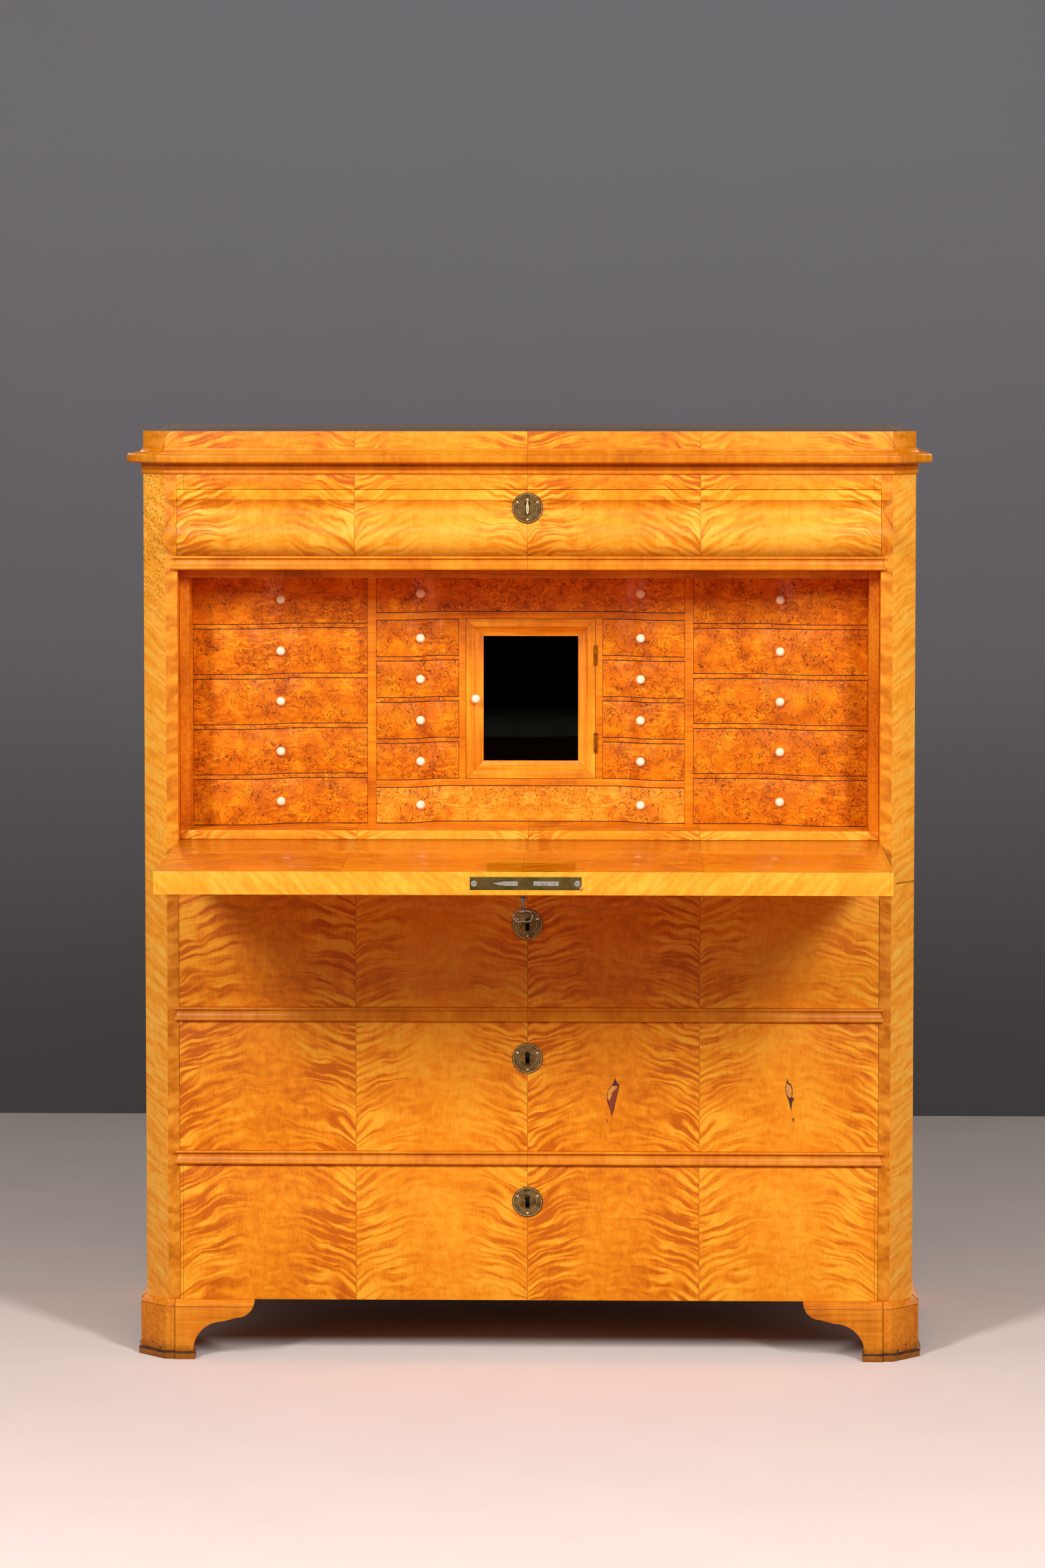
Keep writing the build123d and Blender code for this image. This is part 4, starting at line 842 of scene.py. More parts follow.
def edged_front(centre, normal):
    """0 for faces that look forward, 1 for the rest, 2 for rounded edges and keyholes."""
    if normal.y < -0.92:
        return 0
    # Rounded edges and the walls of the keyholes take wax and painted shade of the gap and the
    # hole.
    aside, above = abs(centre.x - SEAM), min(abs(centre.z - z) for z in KEY_HEIGHTS)
    in_keyhole = aside < KEYHOLE_REACH[0] and above < KEYHOLE_REACH[1]
    return 2 if normal.y < -0.12 or in_keyhole else 1


def attic_face(centre, normal):
    """0 for the front, 2 for the canted corners, 3 for the top and 1 for the rest."""
    if normal.z > 0.6:
        return 3
    if normal.y < -0.9:
        return 0
    return 2 if normal.y < -0.25 and abs(normal.x) > 0.3 else 1


def post_face(centre, normal):
    """0 for the narrow front face, 1 for the canted face, 3 outside, 2 for the rest of a post."""
    if normal.y < -0.9:
        return 0
    if normal.x * centre.x > 0 and abs(normal.x) > 0.9:
        return 3
    return 1 if normal.y < -0.2 and abs(normal.x) > 0.2 else 2


def side_face(centre, normal):
    """0 for the outside of a case side, 1 for the rest of it."""
    return 0 if normal.x * centre.x > 0 and abs(normal.x) > 0.7 else 1


def foot_face(centre, normal):
    """1 for the dirty rounded edges of the plinth, 0 for the rest of a foot."""
    flat = max(abs(normal.x), abs(normal.y), abs(normal.z)) > 0.985
    upright = abs(normal.z) < 0.05
    return 1 if centre.z < WORN_BELOW and not flat and not upright else 0


print("keyholes of the long drawers at", KEY_HEIGHTS, "mm")

# %% Dress the case
# The dark edge material paints wax and dust together with the shade of the gaps round fronts and
# rails.
post_woods = [stile_veneer, cant_veneer, dark_birch, side_veneer]
attic_woods = [attic_veneer, dark_birch, stile_veneer, dusty_top]
dress("corner_posts", "birch", post_woods, post_face, ease=0.8)
dress("case_sides", "birch", [side_veneer, dark_birch], side_face, ease=0.8, grain="z")
dress("cornice_moulding", "birch", [moulding_veneer], ease=0.3, turn=40)
dress("attic_boards", "birch", attic_woods, attic_face, ease=0.8)
dress("top_board", "pine", [dusty_top], ease=1.0)
dress("frieze_rail", "birch", [rail_veneer, dark_birch, wax_dirt_and_gap_shade], rail_face, ease=0.9)
dress("rail_mouldings", "birch", [moulding_veneer], ease=0.2, turn=40)
dress("dust_boards", "pine", [dark_birch, pine], faces_front, ease=0.3)
dress("bottom_board", "pine", [pine], ease=0.5)
dress("drawer_guides", "pine", [pine], ease=0.5)
dress("back_frame", "pine", [brown_pine], ease=0.8, seed=7)
dress("back_panels", "pine", [brown_pine], ease=0.4, grain="z", seed=11)
dress("front_feet", "birch", [foot_birch, wax_dirt_and_gap_shade], foot_face, ease=0.7)
dress("back_feet", "birch", [dark_birch], ease=0.6)
frieze_woods = [frieze_veneer, dark_birch, wax_dirt_and_gap_shade]
dress("frieze_drawer_front", "birch", frieze_woods, frieze_face, ease=0.7)
for count, veneer in enumerate((front_veneer, front_veneer, banded_veneer), 1):
    dress(f"drawer_{count}_front", "birch", [veneer, dark_birch, wax_dirt_and_gap_shade], edged_front, ease=0.5)
    dress(f"drawer_{count}_box", "pine", [pine], ease=0.5, seed=20 + count)
dress("frieze_drawer_box", "pine", [pine], ease=0.5, seed=31)

# %% [markdown]
# ## The fall, its lock and its bolts
#
# The fall is one board with a veneer on each side, a paler leaf on its free edge and plain
# wood at its ends. The lock's plate is brass and its works are steel, so the node becomes two
# pieces. The left bolt ends in a point. A boolean could cut it, but a bisecting plane across
# the bar and a few moved points leave the rest of the bar as it is. The slopes of the point
# have the tone of the plate.


# %% Dress the fall and its lock
def fall_face(centre, normal):
    """0 for the writing surface, 3 for the outside, 1 for the free edge, 2 for the ends."""
    if abs(normal.z) > 0.7:
        return 0 if normal.z > 0 else 3
    return 1 if normal.y < -0.5 else 2


fall_woods = [fall_veneer, edge_veneer, birch, outside_veneer]
dress("fall_panel", "birch", fall_woods, fall_face, ease=0.8)
dress("fall_pivots", "steel", [bolt_steel], ease=0.2)
works = list(range(1, len(solids_of("fall_lock"))))
dress("fall_lock", "brass", [lock_brass], ease=0.3, only=[0])
dress("fall_lock", "steel", [bolt_steel], ease=0.15, only=works, name="fall_lock_steel")
print("solids in the lock's works:", len(works))

# %% Point the left bolt
POINT_END, POINT_LENGTH = -43 * MM, 15 * MM
BLUNT = 0.1  # share of the bolt's height that is left at its end
TOUCH = 0.1 * MM
bolts = dress("lock_bolts", "steel", [bolt_steel, lock_brass], ease=0.45)
bolt_low, bolt_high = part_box("lock_bolts")
bolt_middle = (bolt_low.z + bolt_high.z) / 2
point_start = POINT_END + POINT_LENGTH
pointed = bmesh.new()
pointed.from_mesh(bolts.data)
shape = pointed.verts[:] + pointed.edges[:] + pointed.faces[:]
bmesh.ops.bisect_plane(pointed, geom=shape, plane_co=(point_start, 0, 0), plane_no=(1, 0, 0))
outer = [
    vertex for vertex in pointed.verts
    if vertex.co.y < bolt_low.y + TOUCH and vertex.co.x < point_start - TOUCH
]
for vertex in outer:
    share = max((vertex.co.x - POINT_END) / POINT_LENGTH, BLUNT)
    vertex.co.z = bolt_middle + (vertex.co.z - bolt_middle) * share
for face in {face for vertex in outer for face in vertex.link_faces}:
    if max(vertex.co.y for vertex in face.verts) > bolt_low.y + TOUCH:
        face.material_index = 1
pointed.to_mesh(bolts.data)
pointed.free()
print("pointed bolt: points moved", len(outer))

# %% [markdown]
# ## The nest
#
# Behind the fall stands the nest: a case of thin boards, twenty drawers and a door with a
# mirror. Its rails are faced with burr, and where two boards meet, a dark line of wax and painted
# gap shade shows.
# Each drawer is one CAD node, and here it becomes three pieces, because its front is burr,
# its box pine and its knobs bone. Its solids always follow in that order, so their numbers
# tell them apart, and one function in a loop dresses all twenty.


# %% Which finish a face of the nest has
lower_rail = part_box("wide_bottom_drawer")[1].z / MM
upper_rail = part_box("small_left_drawer_1")[1].z / MM
nest_floor_top = min(max(c.z for c in corners) for corners, _ in solids_of("nest_case")) / MM
WIDE_RAIL = 12  # height of the two rails of plain wood


def nest_case_face(centre, normal):
    """1 for the veneered top of the nest's floor, 2 for its front edge, 0 for the rest."""
    if centre.z > nest_floor_top + 0.5:
        return 0
    if normal.z > 0.7:
        return 1
    return 2 if normal.y < -0.7 else 0


def nest_rail_face(centre, normal):
    """0 for the burr faces of the thin rails, 2 for their edges, 1 for the plain wood."""
    side = abs(centre.x)
    # The door's posts stand about 100 mm from the middle, the two uprights about 240 mm.
    upright = 95 < side < 112 or 234 < side < 250.5
    turned_side = upright and abs(normal.x) > 0.5 and abs(normal.z) < 0.3
    if normal.y < -0.15 and (abs(normal.z) > 0.5 or turned_side):
        return 2
    # The thin rails run between them, and a rounded end may reach a little past them.
    thin = normal.y < -0.45 and (side > 249 or 111 < side < 235)
    wide = any(level < centre.z < level + WIDE_RAIL for level in (lower_rail, upper_rail))
    return 0 if thin and not wide and abs(normal.z) < 0.3 else 1


def door_face(centre, normal):
    """1 for the outer edge of the door, dark with wax and painted gap shade, and 0 for the rest of
    its frame.
    """
    aside, above = abs(centre.x - door_middle.x), abs(centre.z - door_middle.z)
    inside = min(door_size.x / 2 - aside, door_size.z / 2 - above)
    return 1 if inside < 0.6 and normal.y > -0.95 else 0


def nest_front_face(centre, normal):
    """0 for the bowed face, 2 for its rounded upper and lower edges, 1 for the rest."""
    if abs(normal.z) < 0.2 and normal.y < -0.45:
        return 0
    return 2 if normal.y < -0.12 else 1


print("wide rails from", round(lower_rail, 1), "and", round(upper_rail, 1), "mm")
print("top of the nest's floor at", round(nest_floor_top, 1), "mm")

# %% Dress the nest
# The dark edge material paints wax together with the shade of the gaps between the nest's boards
# and fronts.
dress("nest_case", "birch", [birch, floor_veneer, strip_veneer], nest_case_face, ease=0.5)
dress("nest_dividers", "birch", [burr, birch, wax_dirt_and_gap_shade], nest_rail_face, ease=0.4, grain="x")
dress("nest_bearers", "birch", [birch], ease=0.4)
dress("door_frame", "birch", [door_birch, wax_dirt_and_gap_shade], door_face, ease=0.35)
dress("door_mirror", "mirror", [mirror], ease=0.3)
dress("door_hinges", "brass", [hinge_brass], ease=0.1)
dress("door_knob", "bone", [bone], ease=0.0)


def dress_nest_drawer(node_name, seed):
    """A nest drawer: its burr front, its pine box and its bone knobs as three pieces."""
    knobs = list(range(5, len(solids_of(node_name))))
    veneer = matched_burr if node_name == "wide_bottom_drawer" else burr
    dress(node_name, "burr", [veneer, birch, wax_dirt_and_gap_shade], nest_front_face, ease=0.85,
          only=[0], grain="x", seed=seed, name=node_name + "_front")
    dress(node_name, "pine", [pine], ease=0.4, only=[1, 2, 3, 4], seed=seed + 1,
          name=node_name + "_box")
    dress(node_name, "bone", [bone], ease=0.0, only=knobs, seed=seed + 2,
          name=node_name + "_knob")


nest_drawers = sorted(
    name for name in frame["nodes"]
    if name.startswith(("nest_left", "nest_right", "small_", "wide_"))
)
for index, node_name in enumerate(nest_drawers):
    dress_nest_drawer(node_name, 100 + 10 * index)
print("nest drawers dressed:", len(nest_drawers))

# %% [markdown]
# ## Beads
#
# A stamped escutcheon has a ring of bright beads along its rim and a finer ring inside it.
# A bead could be copied round with an array and an empty. One set of Geometry Nodes does it
# with named inputs for the number and the sizes: points on a circle, a bead on each point,
# made real and given its finish. The result is taken over as a plain mesh.


# %% Rings of beads
def bead_tree():
    """Geometry Nodes that put a bead on each point of a circle."""
    tree = bpy.data.node_groups.new("bead_ring", "GeometryNodeTree")
    for name, kind in (
        ("Geometry", "Geometry"),
        ("Beads", "Int"),
        ("Ring radius", "Float"),
        ("Bead radius", "Float"),
        ("Finish", "Material"),
    ):
        socket = "NodeSocket" + kind
        tree.interface.new_socket(name=name, in_out="INPUT", socket_type=socket)
    tree.interface.new_socket(name="Geometry", in_out="OUTPUT", socket_type="NodeSocketGeometry")
    given, circle, bead, on_points, real, smooth, finish, result = [
        tree.nodes.new(kind)
        for kind in (
            "NodeGroupInput",
            "GeometryNodeMeshCircle",
            "GeometryNodeMeshUVSphere",
            "GeometryNodeInstanceOnPoints",
            "GeometryNodeRealizeInstances",
            "GeometryNodeSetShadeSmooth",
            "GeometryNodeSetMaterial",
            "NodeGroupOutput",
        )
    ]
    feed(bead, {"Segments": 14, "Rings": 9})
    for giver, output, taker, wanted in (
        (given, "Beads", circle, "Vertices"),
        (given, "Ring radius", circle, "Radius"),
        (given, "Bead radius", bead, "Radius"),
        (circle, 0, on_points, "Points"),
        (bead, 0, on_points, "Instance"),
        (on_points, 0, real, 0),
        (real, 0, smooth, 0),
        (smooth, 0, finish, "Geometry"),
        (given, "Finish", finish, "Material"),
        (finish, 0, result, 0),
    ):
        tree.links.new(giver.outputs[output], taker.inputs[wanted])
    return tree


BEADS = bead_tree()


def solved_mesh(carrier):
    """The solved shape of a helper object as a plain mesh. The helper goes away."""
    bpy.context.view_layer.update()
    solved = carrier.evaluated_get(bpy.context.evaluated_depsgraph_get())
    mesh = bpy.data.meshes.new_from_object(solved)
    carrier.modifiers.clear()
    bpy.data.objects.remove(carrier)
    return mesh


def bead_ring(beads, ring_mm, bead_mm, finish):
    """A plain mesh of one ring of beads, lying flat about the origin."""
    carrier = in_scene("bead_carrier", bpy.data.meshes.new("bead_carrier"))
    modifier = carrier.modifiers.new("beads", "NODES")
    modifier.node_group = BEADS
    values = {
        "Beads": beads,
        "Ring radius": ring_mm * MM,
        "Bead radius": bead_mm * MM,
        "Finish": finish,
    }
    for item in BEADS.interface.items_tree:
        if item.in_out == "INPUT" and item.name in values:
            modifier[item.identifier] = values[item.name]
    return solved_mesh(carrier)


rim_beads = bead_ring(54, 21.0, 0.9, bead_brass)
inner_beads = bead_ring(54, 13.7, 0.58, bead_brass)
print("one ring has", len(rim_beads.vertices), "points")

# %% [markdown]
# ## Escutcheon plates
#
# The plate is a thin disc with a keyhole stamped out of it and its edges rolled over. A
# boolean could cut the hole from a disc. A flat curve, filled and given a small round edge,
# rolls the rim and the keyhole at once, as the stamp would. The ridge between the beads, the
# dark grooves and the nails are turned shapes: rings of points about an axis with faces
# between them.

# %% Outlines and stamped plates
PLATE_RADIUS = 23.0
EDGE = 0.35  # radius of the plate's rolled edge
KEYHOLE = {"radius": 4.2, "rise": 6.3, "half_slot": 3.2, "drop": 10.2}
HEAD_STEPS = 32


def keyhole_outline(narrower=0.0):
    """The corners of a keyhole: a round head above a slot, in millimetres."""
    radius, slot = KEYHOLE["radius"] - narrower, KEYHOLE["half_slot"] - narrower / 3
    half = math.asin(slot / radius)
    points = [(-slot, -KEYHOLE["drop"]), (slot, -KEYHOLE["drop"])]
    start, end = -math.pi / 2 + half, math.pi * 1.5 - half
    for step in range(HEAD_STEPS + 1):
        angle = start + (end - start) * step / HEAD_STEPS
        points.append((radius * math.cos(angle), KEYHOLE["rise"] + radius * math.sin(angle)))
    return points


def circle_outline(radius, steps):
    """Points round a circle, in millimetres."""
    turns = [2 * math.pi * step / steps for step in range(steps)]
    return [(radius * math.cos(turn), radius * math.sin(turn)) for turn in turns]


def drawn_in(points, by_mm):
    """An outline moved a little to its right side, so that a rolled edge grows back to it."""
    moved = []
    for index, (x, y) in enumerate(points):
        before, after = points[index - 1], points[(index + 1) % len(points)]
        way = Vector((after[0] - before[0], after[1] - before[1])).normalized()
        moved.append((x + way.y * by_mm, y - way.x * by_mm))
    return moved


def stamped(outlines, thick_mm, round_mm):
    """A plate from flat outlines, with its lower face at height 0 and rolled edges."""
    curve = bpy.data.curves.new("stamped", "CURVE")
    curve.dimensions = "2D"
    curve.fill_mode = "BOTH"
    curve.extrude = (thick_mm / 2 - round_mm) * MM
    curve.bevel_depth = round_mm * MM
    curve.bevel_resolution = 2
    for points in outlines:
        spline = curve.splines.new("POLY")
        spline.points.add(len(points) - 1)
        for point, (x, y) in zip(spline.points, points):
            point.co = (x * MM, y * MM, 0, 1)
        spline.use_cyclic_u = True
    mesh = solved_mesh(in_scene("stamped", curve))
    mesh.transform(Matrix.Translation((0, 0, thick_mm / 2 * MM)))
    return mesh


rim = drawn_in(circle_outline(PLATE_RADIUS, 96), -EDGE)
plate = stamped([rim, drawn_in(keyhole_outline(), EDGE)], 1.6, EDGE)
print("the stamped plate has", len(plate.polygons), "faces")


# %% Turned shapes and meshes joined as one
def skinned(name, rings, closed=False):
    """A smooth mesh over rings of points in metres, where a single point closes an end."""
    shape = bmesh.new()
    steps = max(len(ring) for ring in rings)
    rings = [[shape.verts.new(point) for point in ring] for ring in rings]
    for lower, upper in zip(rings, rings[1:] + rings[:1] if closed else rings[1:]):
        for step in range(steps):
            after = (step + 1) % steps
            corners = [
                lower[step % len(lower)],
                lower[after % len(lower)],
                upper[after % len(upper)],
                upper[step % len(upper)],
            ]
            shape.faces.new(list(dict.fromkeys(corners)))
    bmesh.ops.recalc_face_normals(shape, faces=shape.faces)
    mesh = bpy.data.meshes.new(name)
    shape.to_mesh(mesh)
    shape.free()
    mesh.shade_smooth()
    return mesh


def turned(profile, steps=40):
    """A turned shape about the Z axis from (radius, height) pairs in millimetres."""
    rings = []
    for radius, height in profile:
        outline = circle_outline(radius, steps) if radius else [(0, 0)]
        rings.append([(x * MM, y * MM, height * MM) for x, y in outline])
    return skinned("turned", rings)


def joined(parts):
    """Several meshes as one, each with its own matrix and material number."""
    whole = bmesh.new()
    for mesh, matrix, number in parts:
        part = mesh.copy()
        part.transform(matrix)
        for polygon in part.polygons:
            polygon.material_index = number
        whole.from_mesh(part)
        bpy.data.meshes.remove(part)
    mesh = bpy.data.meshes.new("joined")
    whole.to_mesh(mesh)
    whole.free()
    return mesh


METAL = [plate_brass, bead_brass, nail_brass, groove_patina_and_shade_brass]
PLATE, BEAD, NAIL, PATINA_AND_SHADE = range(4)  # their numbers on an escutcheon
NAIL_RING = 17.2  # the nails stand on the ridge, this far from the middle
STILL = Matrix.Identity(4)
ridge = turned([(15.1, 1.2), (15.4, 1.9), (NAIL_RING, 2.1), (19.0, 1.9), (19.4, 1.2)], 72)
nail = turned([(1.9, 1.5), (1.9, 2.0), (1.6, 2.45), (1.0, 2.72), (0, 2.8)], 20)
# Dark grooves: patina with painted shade between the beads. The thin sheet under the plate paints
# the shade inside the keyhole.
rim_groove = turned([(19.5, 1.5), (19.7, 1.68), (22.3, 1.68), (22.5, 1.5)], 72)
inner_groove = turned([(12.6, 1.5), (12.8, 1.66), (14.6, 1.66), (14.8, 1.5)], 72)
back = stamped([circle_outline(8.0, 24), keyhole_outline(0.9)], 0.3, 0.02)
bead_height = Matrix.Translation((0, 0, 1.75 * MM))
parts = [
    (plate, STILL, PLATE),
    (ridge, STILL, PLATE),
    (rim_groove, STILL, PATINA_AND_SHADE),
    (inner_groove, STILL, PATINA_AND_SHADE),
    (back, STILL, PATINA_AND_SHADE),
    (rim_beads, bead_height, BEAD),
    (inner_beads, bead_height, BEAD),
]
for degrees in (30, 150, 270):
    x, y = math.cos(math.radians(degrees)), math.sin(math.radians(degrees))
    parts.append((nail, Matrix.Translation((NAIL_RING * x * MM, NAIL_RING * y * MM, 0)), NAIL))
escutcheon = joined(parts)
print("an escutcheon has", len(escutcheon.polygons), "faces")

# %% Mount the escutcheons
FORWARD = Matrix(((1, 0, 0, 0), (0, 0, -1, 0), (0, 1, 0, 0), (0, 0, 0, 1)))
DOWNWARD = Matrix(((1, 0, 0, 0), (0, -1, 0, 0), (0, 0, -1, 0), (0, 0, 0, 1)))
FALL_KEYHOLE = (SEAM, -394.25, 751.0)
FRIEZE_KEYHOLE = (SEAM, front - 5.5, 1285.6)
CASE_DEPTHS = (7, 30)  # of the solids in such a node, only a lock's case is this deep


def mount_escutcheon(node_name, turn, spot_mm):
    """Put an escutcheon at its place, and dress the lock case that shares its node in iron."""
    mesh = escutcheon.copy()
    mesh.transform(Matrix.Translation(Vector(spot_mm) * MM) @ turn)
    mesh.set_sharp_from_angle(angle=math.radians(35))
    place_piece(node_name + "_plate", mesh, node_name, METAL)
    cases = []
    for index, (corners, _) in enumerate(solids_of(node_name)):
        depths = [corner.y / MM for corner in corners]
        if CASE_DEPTHS[0] < max(depths) - min(depths) < CASE_DEPTHS[1]:
            cases.append(index)
    if cases:
        dress(node_name, "steel", [key_iron], ease=0.3, only=cases, name=node_name + "_lock")
    print(node_name, "has", len(cases), "lock case")


for count, height in enumerate(KEY_HEIGHTS, 1):
    mount_escutcheon(f"drawer_{count}_fittings", FORWARD, (SEAM, front, height))
mount_escutcheon("fall_escutcheon", DOWNWARD, FALL_KEYHOLE)
mount_escutcheon("frieze_fittings", FORWARD, FRIEZE_KEYHOLE)

# %% [markdown]
# ## Key and keyhole cover
#
# The key is turned and filed: a round neck with two collars, a flat bit, and a bow bent from
# round wire. Its stem and bit are turned shapes, the bit with four sides and pressed flat. A
# curve with a round bevel could make the bow, but a ring of points carried along its line
# uses the same skin as the turned shapes. The frieze drawer's cover is a small drop that
# swings on a pin, turned and then flattened.

# %% The key
KEY = Vector((SEAM, -400.55, 0)) * MM
BOW_HEIGHT = 712.4 * MM
STEM = [
    (0, 719.0), (1.9, 719.3), (1.9, 728), (2.3, 735.6), (3.6, 736.5), (4.6, 737.0), (4.75, 738.2),
    (4.6, 739.4), (3.2, 739.8), (2.6, 740.6), (2.6, 742.2), (3.2, 742.9), (4.6, 743.3),
    (4.75, 744.6), (4.6, 745.9), (2.6, 746.1), (2.6, 770.6), (2.3, 771.0), (0, 771.0),
]
BIT = [(0, 764.2), (8.8, 764.2), (9.2, 764.6), (9.2, 770.6), (8.8, 771.0), (0, 771.0)]
BIT_REACH, BIT_THICK = 6.5, 1.2


def wire_loop(points, radius_mm, steps=10):
    """A closed round wire through points of the XZ plane, in millimetres."""
    rings = []
    for index, (x, z) in enumerate(points):
        before, after = points[index - 1], points[(index + 1) % len(points)]
        way = Vector((after[0] - before[0], 0, after[1] - before[1])).normalized()
        side = Vector((way.z, 0, -way.x))
        section = circle_outline(radius_mm, steps)
        rings.append([(Vector((x, y, z)) + side * outward) * MM for outward, y in section])
    return skinned("wire", rings, closed=True)


def bow_outline(radius=8.3, spread=5.6):
    """Two overlapping rings as one kidney line, its inner corners a little rounded."""
    points = []
    start = math.acos(-spread / radius)
    for way in (1, -1):
        for step in range(25):
            angle = start - 2 * start * step / 24
            x, z = spread + radius * math.cos(angle), radius * math.sin(angle)
            points.append((way * x, way * z))
    for _ in range(3):
        following = points[1:] + points[:1]
        before = points[-1:] + points[:-1]
        points = [
            tuple((a + 2 * b + c) / 4 for a, b, c in zip(*three))
            for three in zip(before, points, following)
        ]
    return points


at_key = Matrix.Translation(KEY)
pressed = Matrix.Diagonal((BIT_THICK / BIT_REACH, 1, 1, 1))
flat_bit = Matrix.Translation((0, BIT_REACH * MM, 0)) @ pressed
key_mesh = joined([
    (turned(STEM, 24), at_key, 0),
    (turned(BIT, 4), at_key @ flat_bit @ Matrix.Rotation(math.radians(45), 4, "Z"), 0),
    (wire_loop(bow_outline(), 1.1), Matrix.Translation((0, 0, BOW_HEIGHT)) @ at_key, 1),
])
key_mesh.set_sharp_from_angle(angle=math.radians(50))
place_piece("fall_key_turned", key_mesh, "fall_key", [key_iron, bright_bow])
print("the key has", len(key_mesh.polygons), "faces")

# %% The keyhole cover
DROP = [
    (0, 1276.1), (1.0, 1276.8), (1.7, 1278.4), (2.4, 1281.2), (2.6, 1284.4), (2.3, 1287.6),
    (1.6, 1291.0), (1.1, 1294.2), (1.1, 1296.4), (1.7, 1297.6), (1.95, 1298.9), (1.4, 1300.0),
    (0, 1300.4),
]
drop = turned(DROP, 24)
cover_low, cover_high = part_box("keyhole_cover")
cover_place = Matrix.Translation((SEAM * MM, (cover_low.y + cover_high.y) / 2, 0))
drop.transform(cover_place @ Matrix.Diagonal((1, 0.42, 1, 1)))
place_piece("keyhole_cover_drop", drop, "keyhole_cover", [nail_brass])
print("the drop is", round(DROP[-1][1] - DROP[0][1], 1), "mm long")

# %% [markdown]
# ## Plug and chips
#
# A plug of end grain fills an old hole beside the lock. Two chips in the veneer of the second
# drawer show the glue and the bare wood under it. They could be a mask in the veneer's
# material, but an outline keeps its torn corners at any distance. So they are laid on the
# front as shapes thinner than paper, dark rim first, and each layer covers the last.

# %% Plug and chips
PLUG_SPOT = Vector((83.2, 0.1, 760.2)) * MM  # aside, just inside the free edge, above the floor
LAYER = 0.05  # each layer of a chip stands this much further out
CHIPS = {
    "torn": [
        [(130.5, 427.5), (133.5, 420.5), (136.8, 417.6), (135.2, 408.0), (131.6, 394.0),
         (128.9, 380.0), (125.0, 368.0), (122.6, 380.5), (118.2, 393.0), (118.2, 404.0),
         (120.2, 411.5), (126.0, 417.0)],
        [(117.0, 366.8), (119.8, 360.0), (118.6, 359.6), (116.4, 365.0)],
        [(389.5, 427.5), (391.5, 421.0), (395.0, 419.5), (397.0, 412.0), (397.0, 398.5),
         (400.5, 397.5), (396.8, 391.5), (395.6, 380.0), (396.2, 376.0), (393.6, 384.0),
         (391.6, 393.5), (387.6, 404.0), (386.0, 413.0), (387.0, 419.0)],
        [(397.0, 367.5), (399.8, 367.5), (398.9, 361.5), (397.6, 361.5)],
    ],
    "glue": [
        [(134.6, 415.5), (133.8, 408.0), (130.2, 394.0), (127.6, 381.0), (125.1, 372.0),
         (123.4, 382.0), (120.0, 393.4), (122.8, 399.0), (126.4, 407.0)],
    ],
    "bare": [
        [(120.6, 410.6), (126.2, 415.6), (133.4, 416.4), (133.0, 412.2), (127.0, 407.2),
         (124.6, 400.0), (121.6, 393.0), (119.0, 396.0), (119.2, 404.0)],
        [(388.2, 420.6), (393.6, 417.6), (395.8, 411.0), (395.6, 399.6), (391.6, 399.2),
         (388.6, 405.0), (387.0, 413.0)],
    ],
}
CHIP_WOODS = {"torn": torn_edge, "glue": old_glue, "bare": bare_birch}


def flat_shape(points, height_mm, front_mm):
    """A thin flat shape facing forward, drawn by (x, z) corners in millimetres."""
    mesh = bpy.data.meshes.new("flat")
    corners = [(x * MM, front_mm * MM, z * MM) for x, z in points]
    corners += [(x * MM, (front_mm - height_mm) * MM, z * MM) for x, z in points]
    count = len(points)
    faces = [list(range(2 * count - 1, count - 1, -1))]
    for step in range(count):
        after = (step + 1) % count
        faces.append([step, after, count + after, count + step])
    mesh.from_pydata(corners, [], faces)
    return mesh


plug = turned([(2.9, 0), (2.8, 0.3), (0, 0.35)], 24)
fall_edge = Vector((0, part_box("fall_panel")[0].y, 0))
plug.transform(Matrix.Translation(PLUG_SPOT + fall_edge) @ FORWARD)
place_piece("end_grain_plug", plug, "fall_panel", [plug_wood])
for layer, (label, finish) in enumerate(CHIP_WOODS.items(), 1):
    shapes = [(flat_shape(shape, LAYER * layer, front), STILL, 0) for shape in CHIPS[label]]
    place_piece("chip_" + label, joined(shapes), "drawer_2_front", [finish])
print("torn outlines in the second drawer:", len(CHIPS["torn"]))

# %% [markdown]
# ## The studio
#
# A pale floor, a grey wall and large soft boxes, left and right of the camera. A picture of a
# studio could light the desk too, but lamps and paper keep the light even and put a shadow
# under the feet. Both sheets of paper are clear from behind, so the back and the underside can
# be seen as well, and two more soft boxes light the back through them. The paper shows its
# tone only to the camera and in reflections. The light it gives back is browner, as in a room
# with wood about, so that no wood turns grey on its shaded side.

# %% Studio paper
KINDS.update({
    "behind": ("NewGeometry", (), "Backfacing", {}),
    "clear": ("BsdfTransparent", (), 0, {}),
    "either": ("MixShader", (0, 1, 2), 0, {}),
    "camera_ray": ("LightPath", (), "Is Camera Ray", {}),
    "glossy_ray": ("LightPath", (), "Is Glossy Ray", {}),
    "clear_ray": ("LightPath", (), "Is Transmission Ray", {}),
})
WALL = 2.26  # how far behind the middle the wall stands, in metres


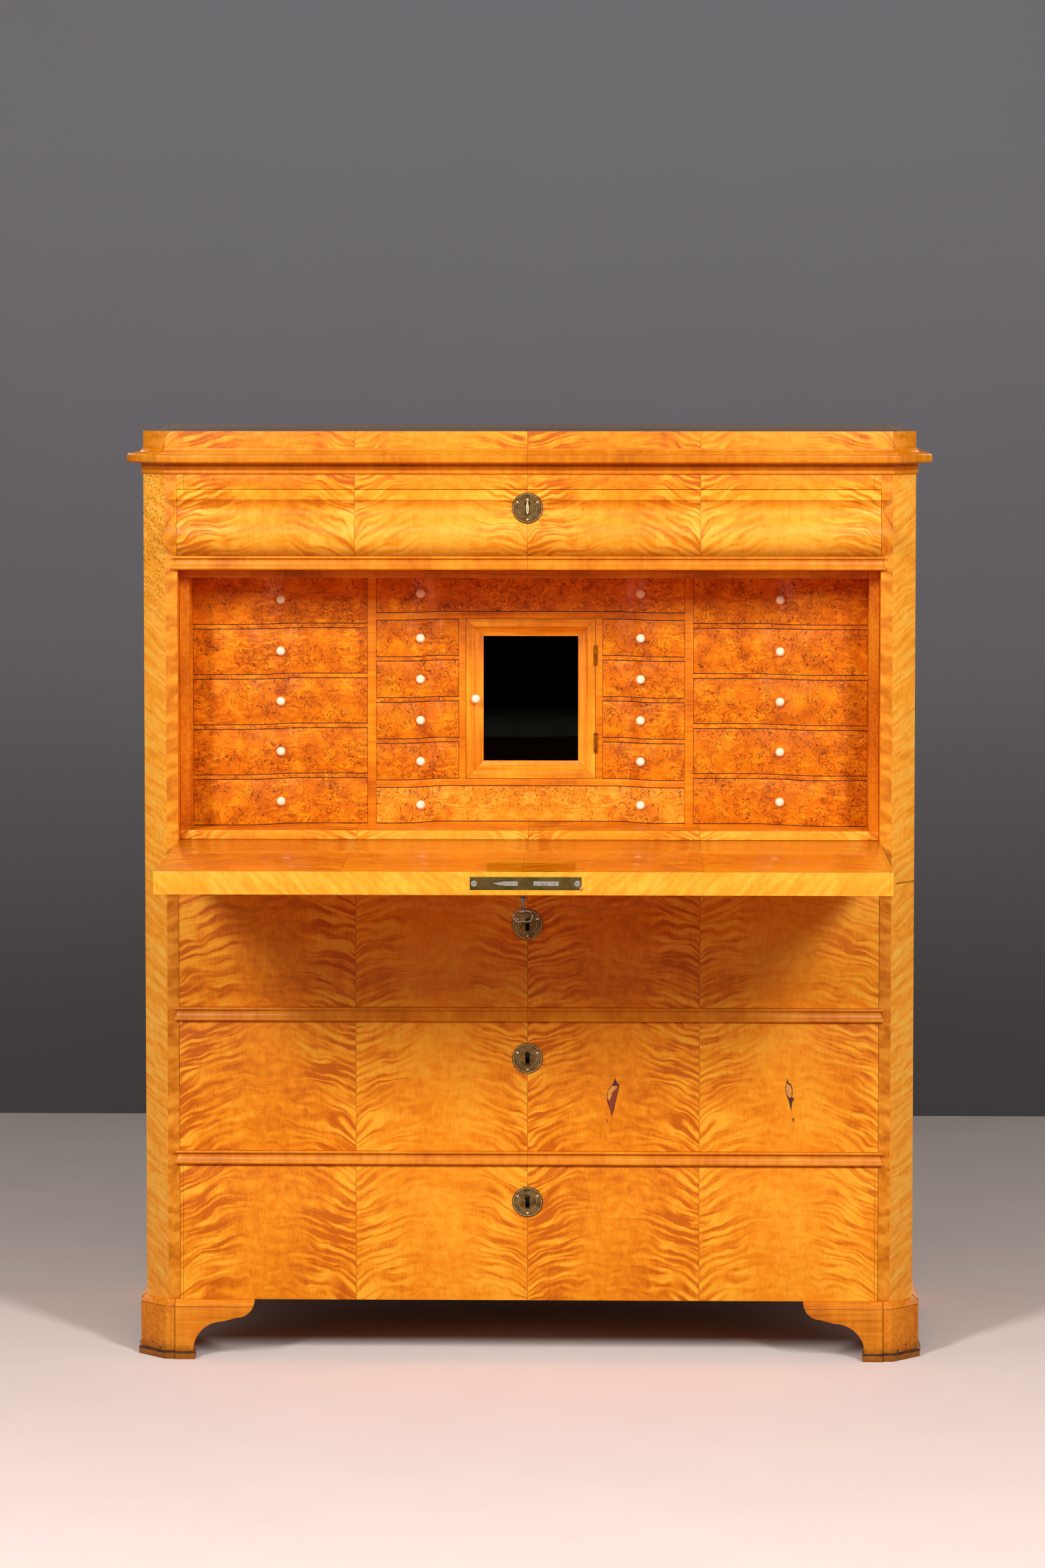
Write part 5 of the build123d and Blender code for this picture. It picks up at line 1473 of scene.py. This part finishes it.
def studio_paper(name, seen, lit, axis, low, high, shift):
    """Matt studio paper: its tone runs between two places as painted falloff of the light, and it
    gives back a darker light.
    """
    material, shader = new_material(name, {"Roughness": 0.9})
    tree = shader.id_data
    clear_behind = node(
        "either", node("behind", tree=tree), Value(shader.outputs[0]), node("clear", tree=tree)
    )
    feed(tree.nodes["Material Output"], {"Surface": clear_behind})
    place = own_place(shader)
    share = node("stretch", node("split", place)["XYZ".index(axis)], low, high)
    mottle = node("noise", place, 1 / 260, 5.0, 0.6)
    shade = node("stretch", mottle, 0.3, 0.7, 1.0 - shift, 1.0 + shift)
    painted_falloff_tones = node("blend", share, tone(seen[0]), tone(seen[1]))
    camera_ray, glossy_ray, clear_ray = [
        node(ray, tree=tree) for ray in ("camera_ray", "glossy_ray", "clear_ray")
    ]
    looked_at = node("MAXIMUM", node("MAXIMUM", camera_ray, glossy_ray), clear_ray)
    feed(shader, {
        "Base Color": node("blend", looked_at, tone(lit), node("scale", painted_falloff_tones, shade)),
    })
    return material


def stage_plane(name, corners, material):
    """A large flat sheet of the studio."""
    mesh = bpy.data.meshes.new(name)
    mesh.from_pydata(corners, [], [list(range(len(corners)))])
    mesh.materials.append(material)
    sheet = in_scene(name, mesh)
    return sheet


# A bright warm floor, on which the feet throw a soft shadow, painted a little darker towards the
# wall as painted falloff of the light.
floor_paper = studio_paper(
    "pale_floor_paper", ("#FFE8E0", "#F0E4DE"), "#9A6650", "Y", -1200.0, 0.0, 0.02
)
# A quiet grey, painted darker towards the floor as painted falloff of the light, that lets the gold
# wood stand out.
wall_paper = studio_paper(
    "grey_wall_paper", ("#504E4F", "#727278"), "#4A4644", "Z", -100.0, 1900.0, 0.01
)
floor = stage_plane("floor", [(-9, -9, 0), (9, -9, 0), (9, 9, 0), (-9, 9, 0)], floor_paper)
wall_corners = [(-8, WALL, 0), (8, WALL, 0), (8, WALL, 5), (-8, WALL, 5)]
wall = stage_plane("wall", wall_corners, wall_paper)
print("the wall stands", WALL, "m behind the middle")

# %% Lamps
DESK_MIDDLE = (0, 0, 0.7)


def soft_box(name, place, target, size, watts):
    """A soft box that looks at a point."""
    light = bpy.data.lights.new(name, "AREA")
    light.shape = "RECTANGLE"
    light.size, light.size_y = size
    light.energy = watts
    lamp = in_scene(name, light)
    lamp.location = place
    lamp.rotation_euler = (Vector(target) - Vector(place)).to_track_quat("-Z", "Y").to_euler()
    return lamp


for side in (-1, 1):
    soft_box("soft_box", (2.8 * side, -5.0, 3.9), DESK_MIDDLE, (0.8, 2.0), 235)
    soft_box("side_fill", (3.4 * side, -1.6, 1.3), (0, -0.2, 0.7), (1.4, 2.0), 18)
soft_box("soft_floor_light", (0, -3.4, 3.4), (0, -2.8, 0), (2.4, 1.0), 28)

# The back has two soft boxes of its own. They leave the paper alone and shine through it.
paper = bpy.data.collections.new("studio_paper")
for sheet in (floor, wall):
    paper.objects.link(sheet)
for sheet in paper.collection_objects:
    sheet.light_linking.link_state = "EXCLUDE"
for side in (-1, 1):
    back_box = soft_box("back_soft_box", (3.4 * side, 5.2, 3.2), DESK_MIDDLE, (1.2, 2.0), 190)
    back_box.light_linking.receiver_collection = paper
    back_box.light_linking.blocker_collection = paper

# %% World and camera
AIR = 0.05  # share of the air's tone that lights the desk
world = bpy.data.worlds.new("studio_air")
bpy.context.scene.world = world
world.use_nodes = True
air = world.node_tree
dim_air = (*[AIR * channel for channel in tone("#C8BFB8")[:3]], 1.0)
seen_air = node("blend", node("camera_ray", tree=air), dim_air, tone("#6C6A6C"))
feed(air.nodes["Background"], {"Color": seen_air})

# The lens, its shift and both small turns come from a camera fitted to the desk's edges.
camera_data = bpy.data.cameras.new("camera")
camera_data.lens = 114.87
camera_data.sensor_width = 36
camera_data.sensor_fit = "AUTO"
camera_data.shift_y = -0.0862
camera_data.clip_end = 50
camera = in_scene("camera", camera_data)
pan = Matrix.Rotation(math.radians(1.203), 4, "Z")
tilt = Matrix.Rotation(math.radians(90 - 3.758), 4, "X")
camera.matrix_world = Matrix.Translation((0.1478, -7.53525, 1.5653)) @ pan @ tilt
bpy.context.scene.camera = camera
bpy.context.scene.view_settings.view_transform = "Standard"
print("the camera looks from", [round(part, 2) for part in camera.matrix_world.translation])
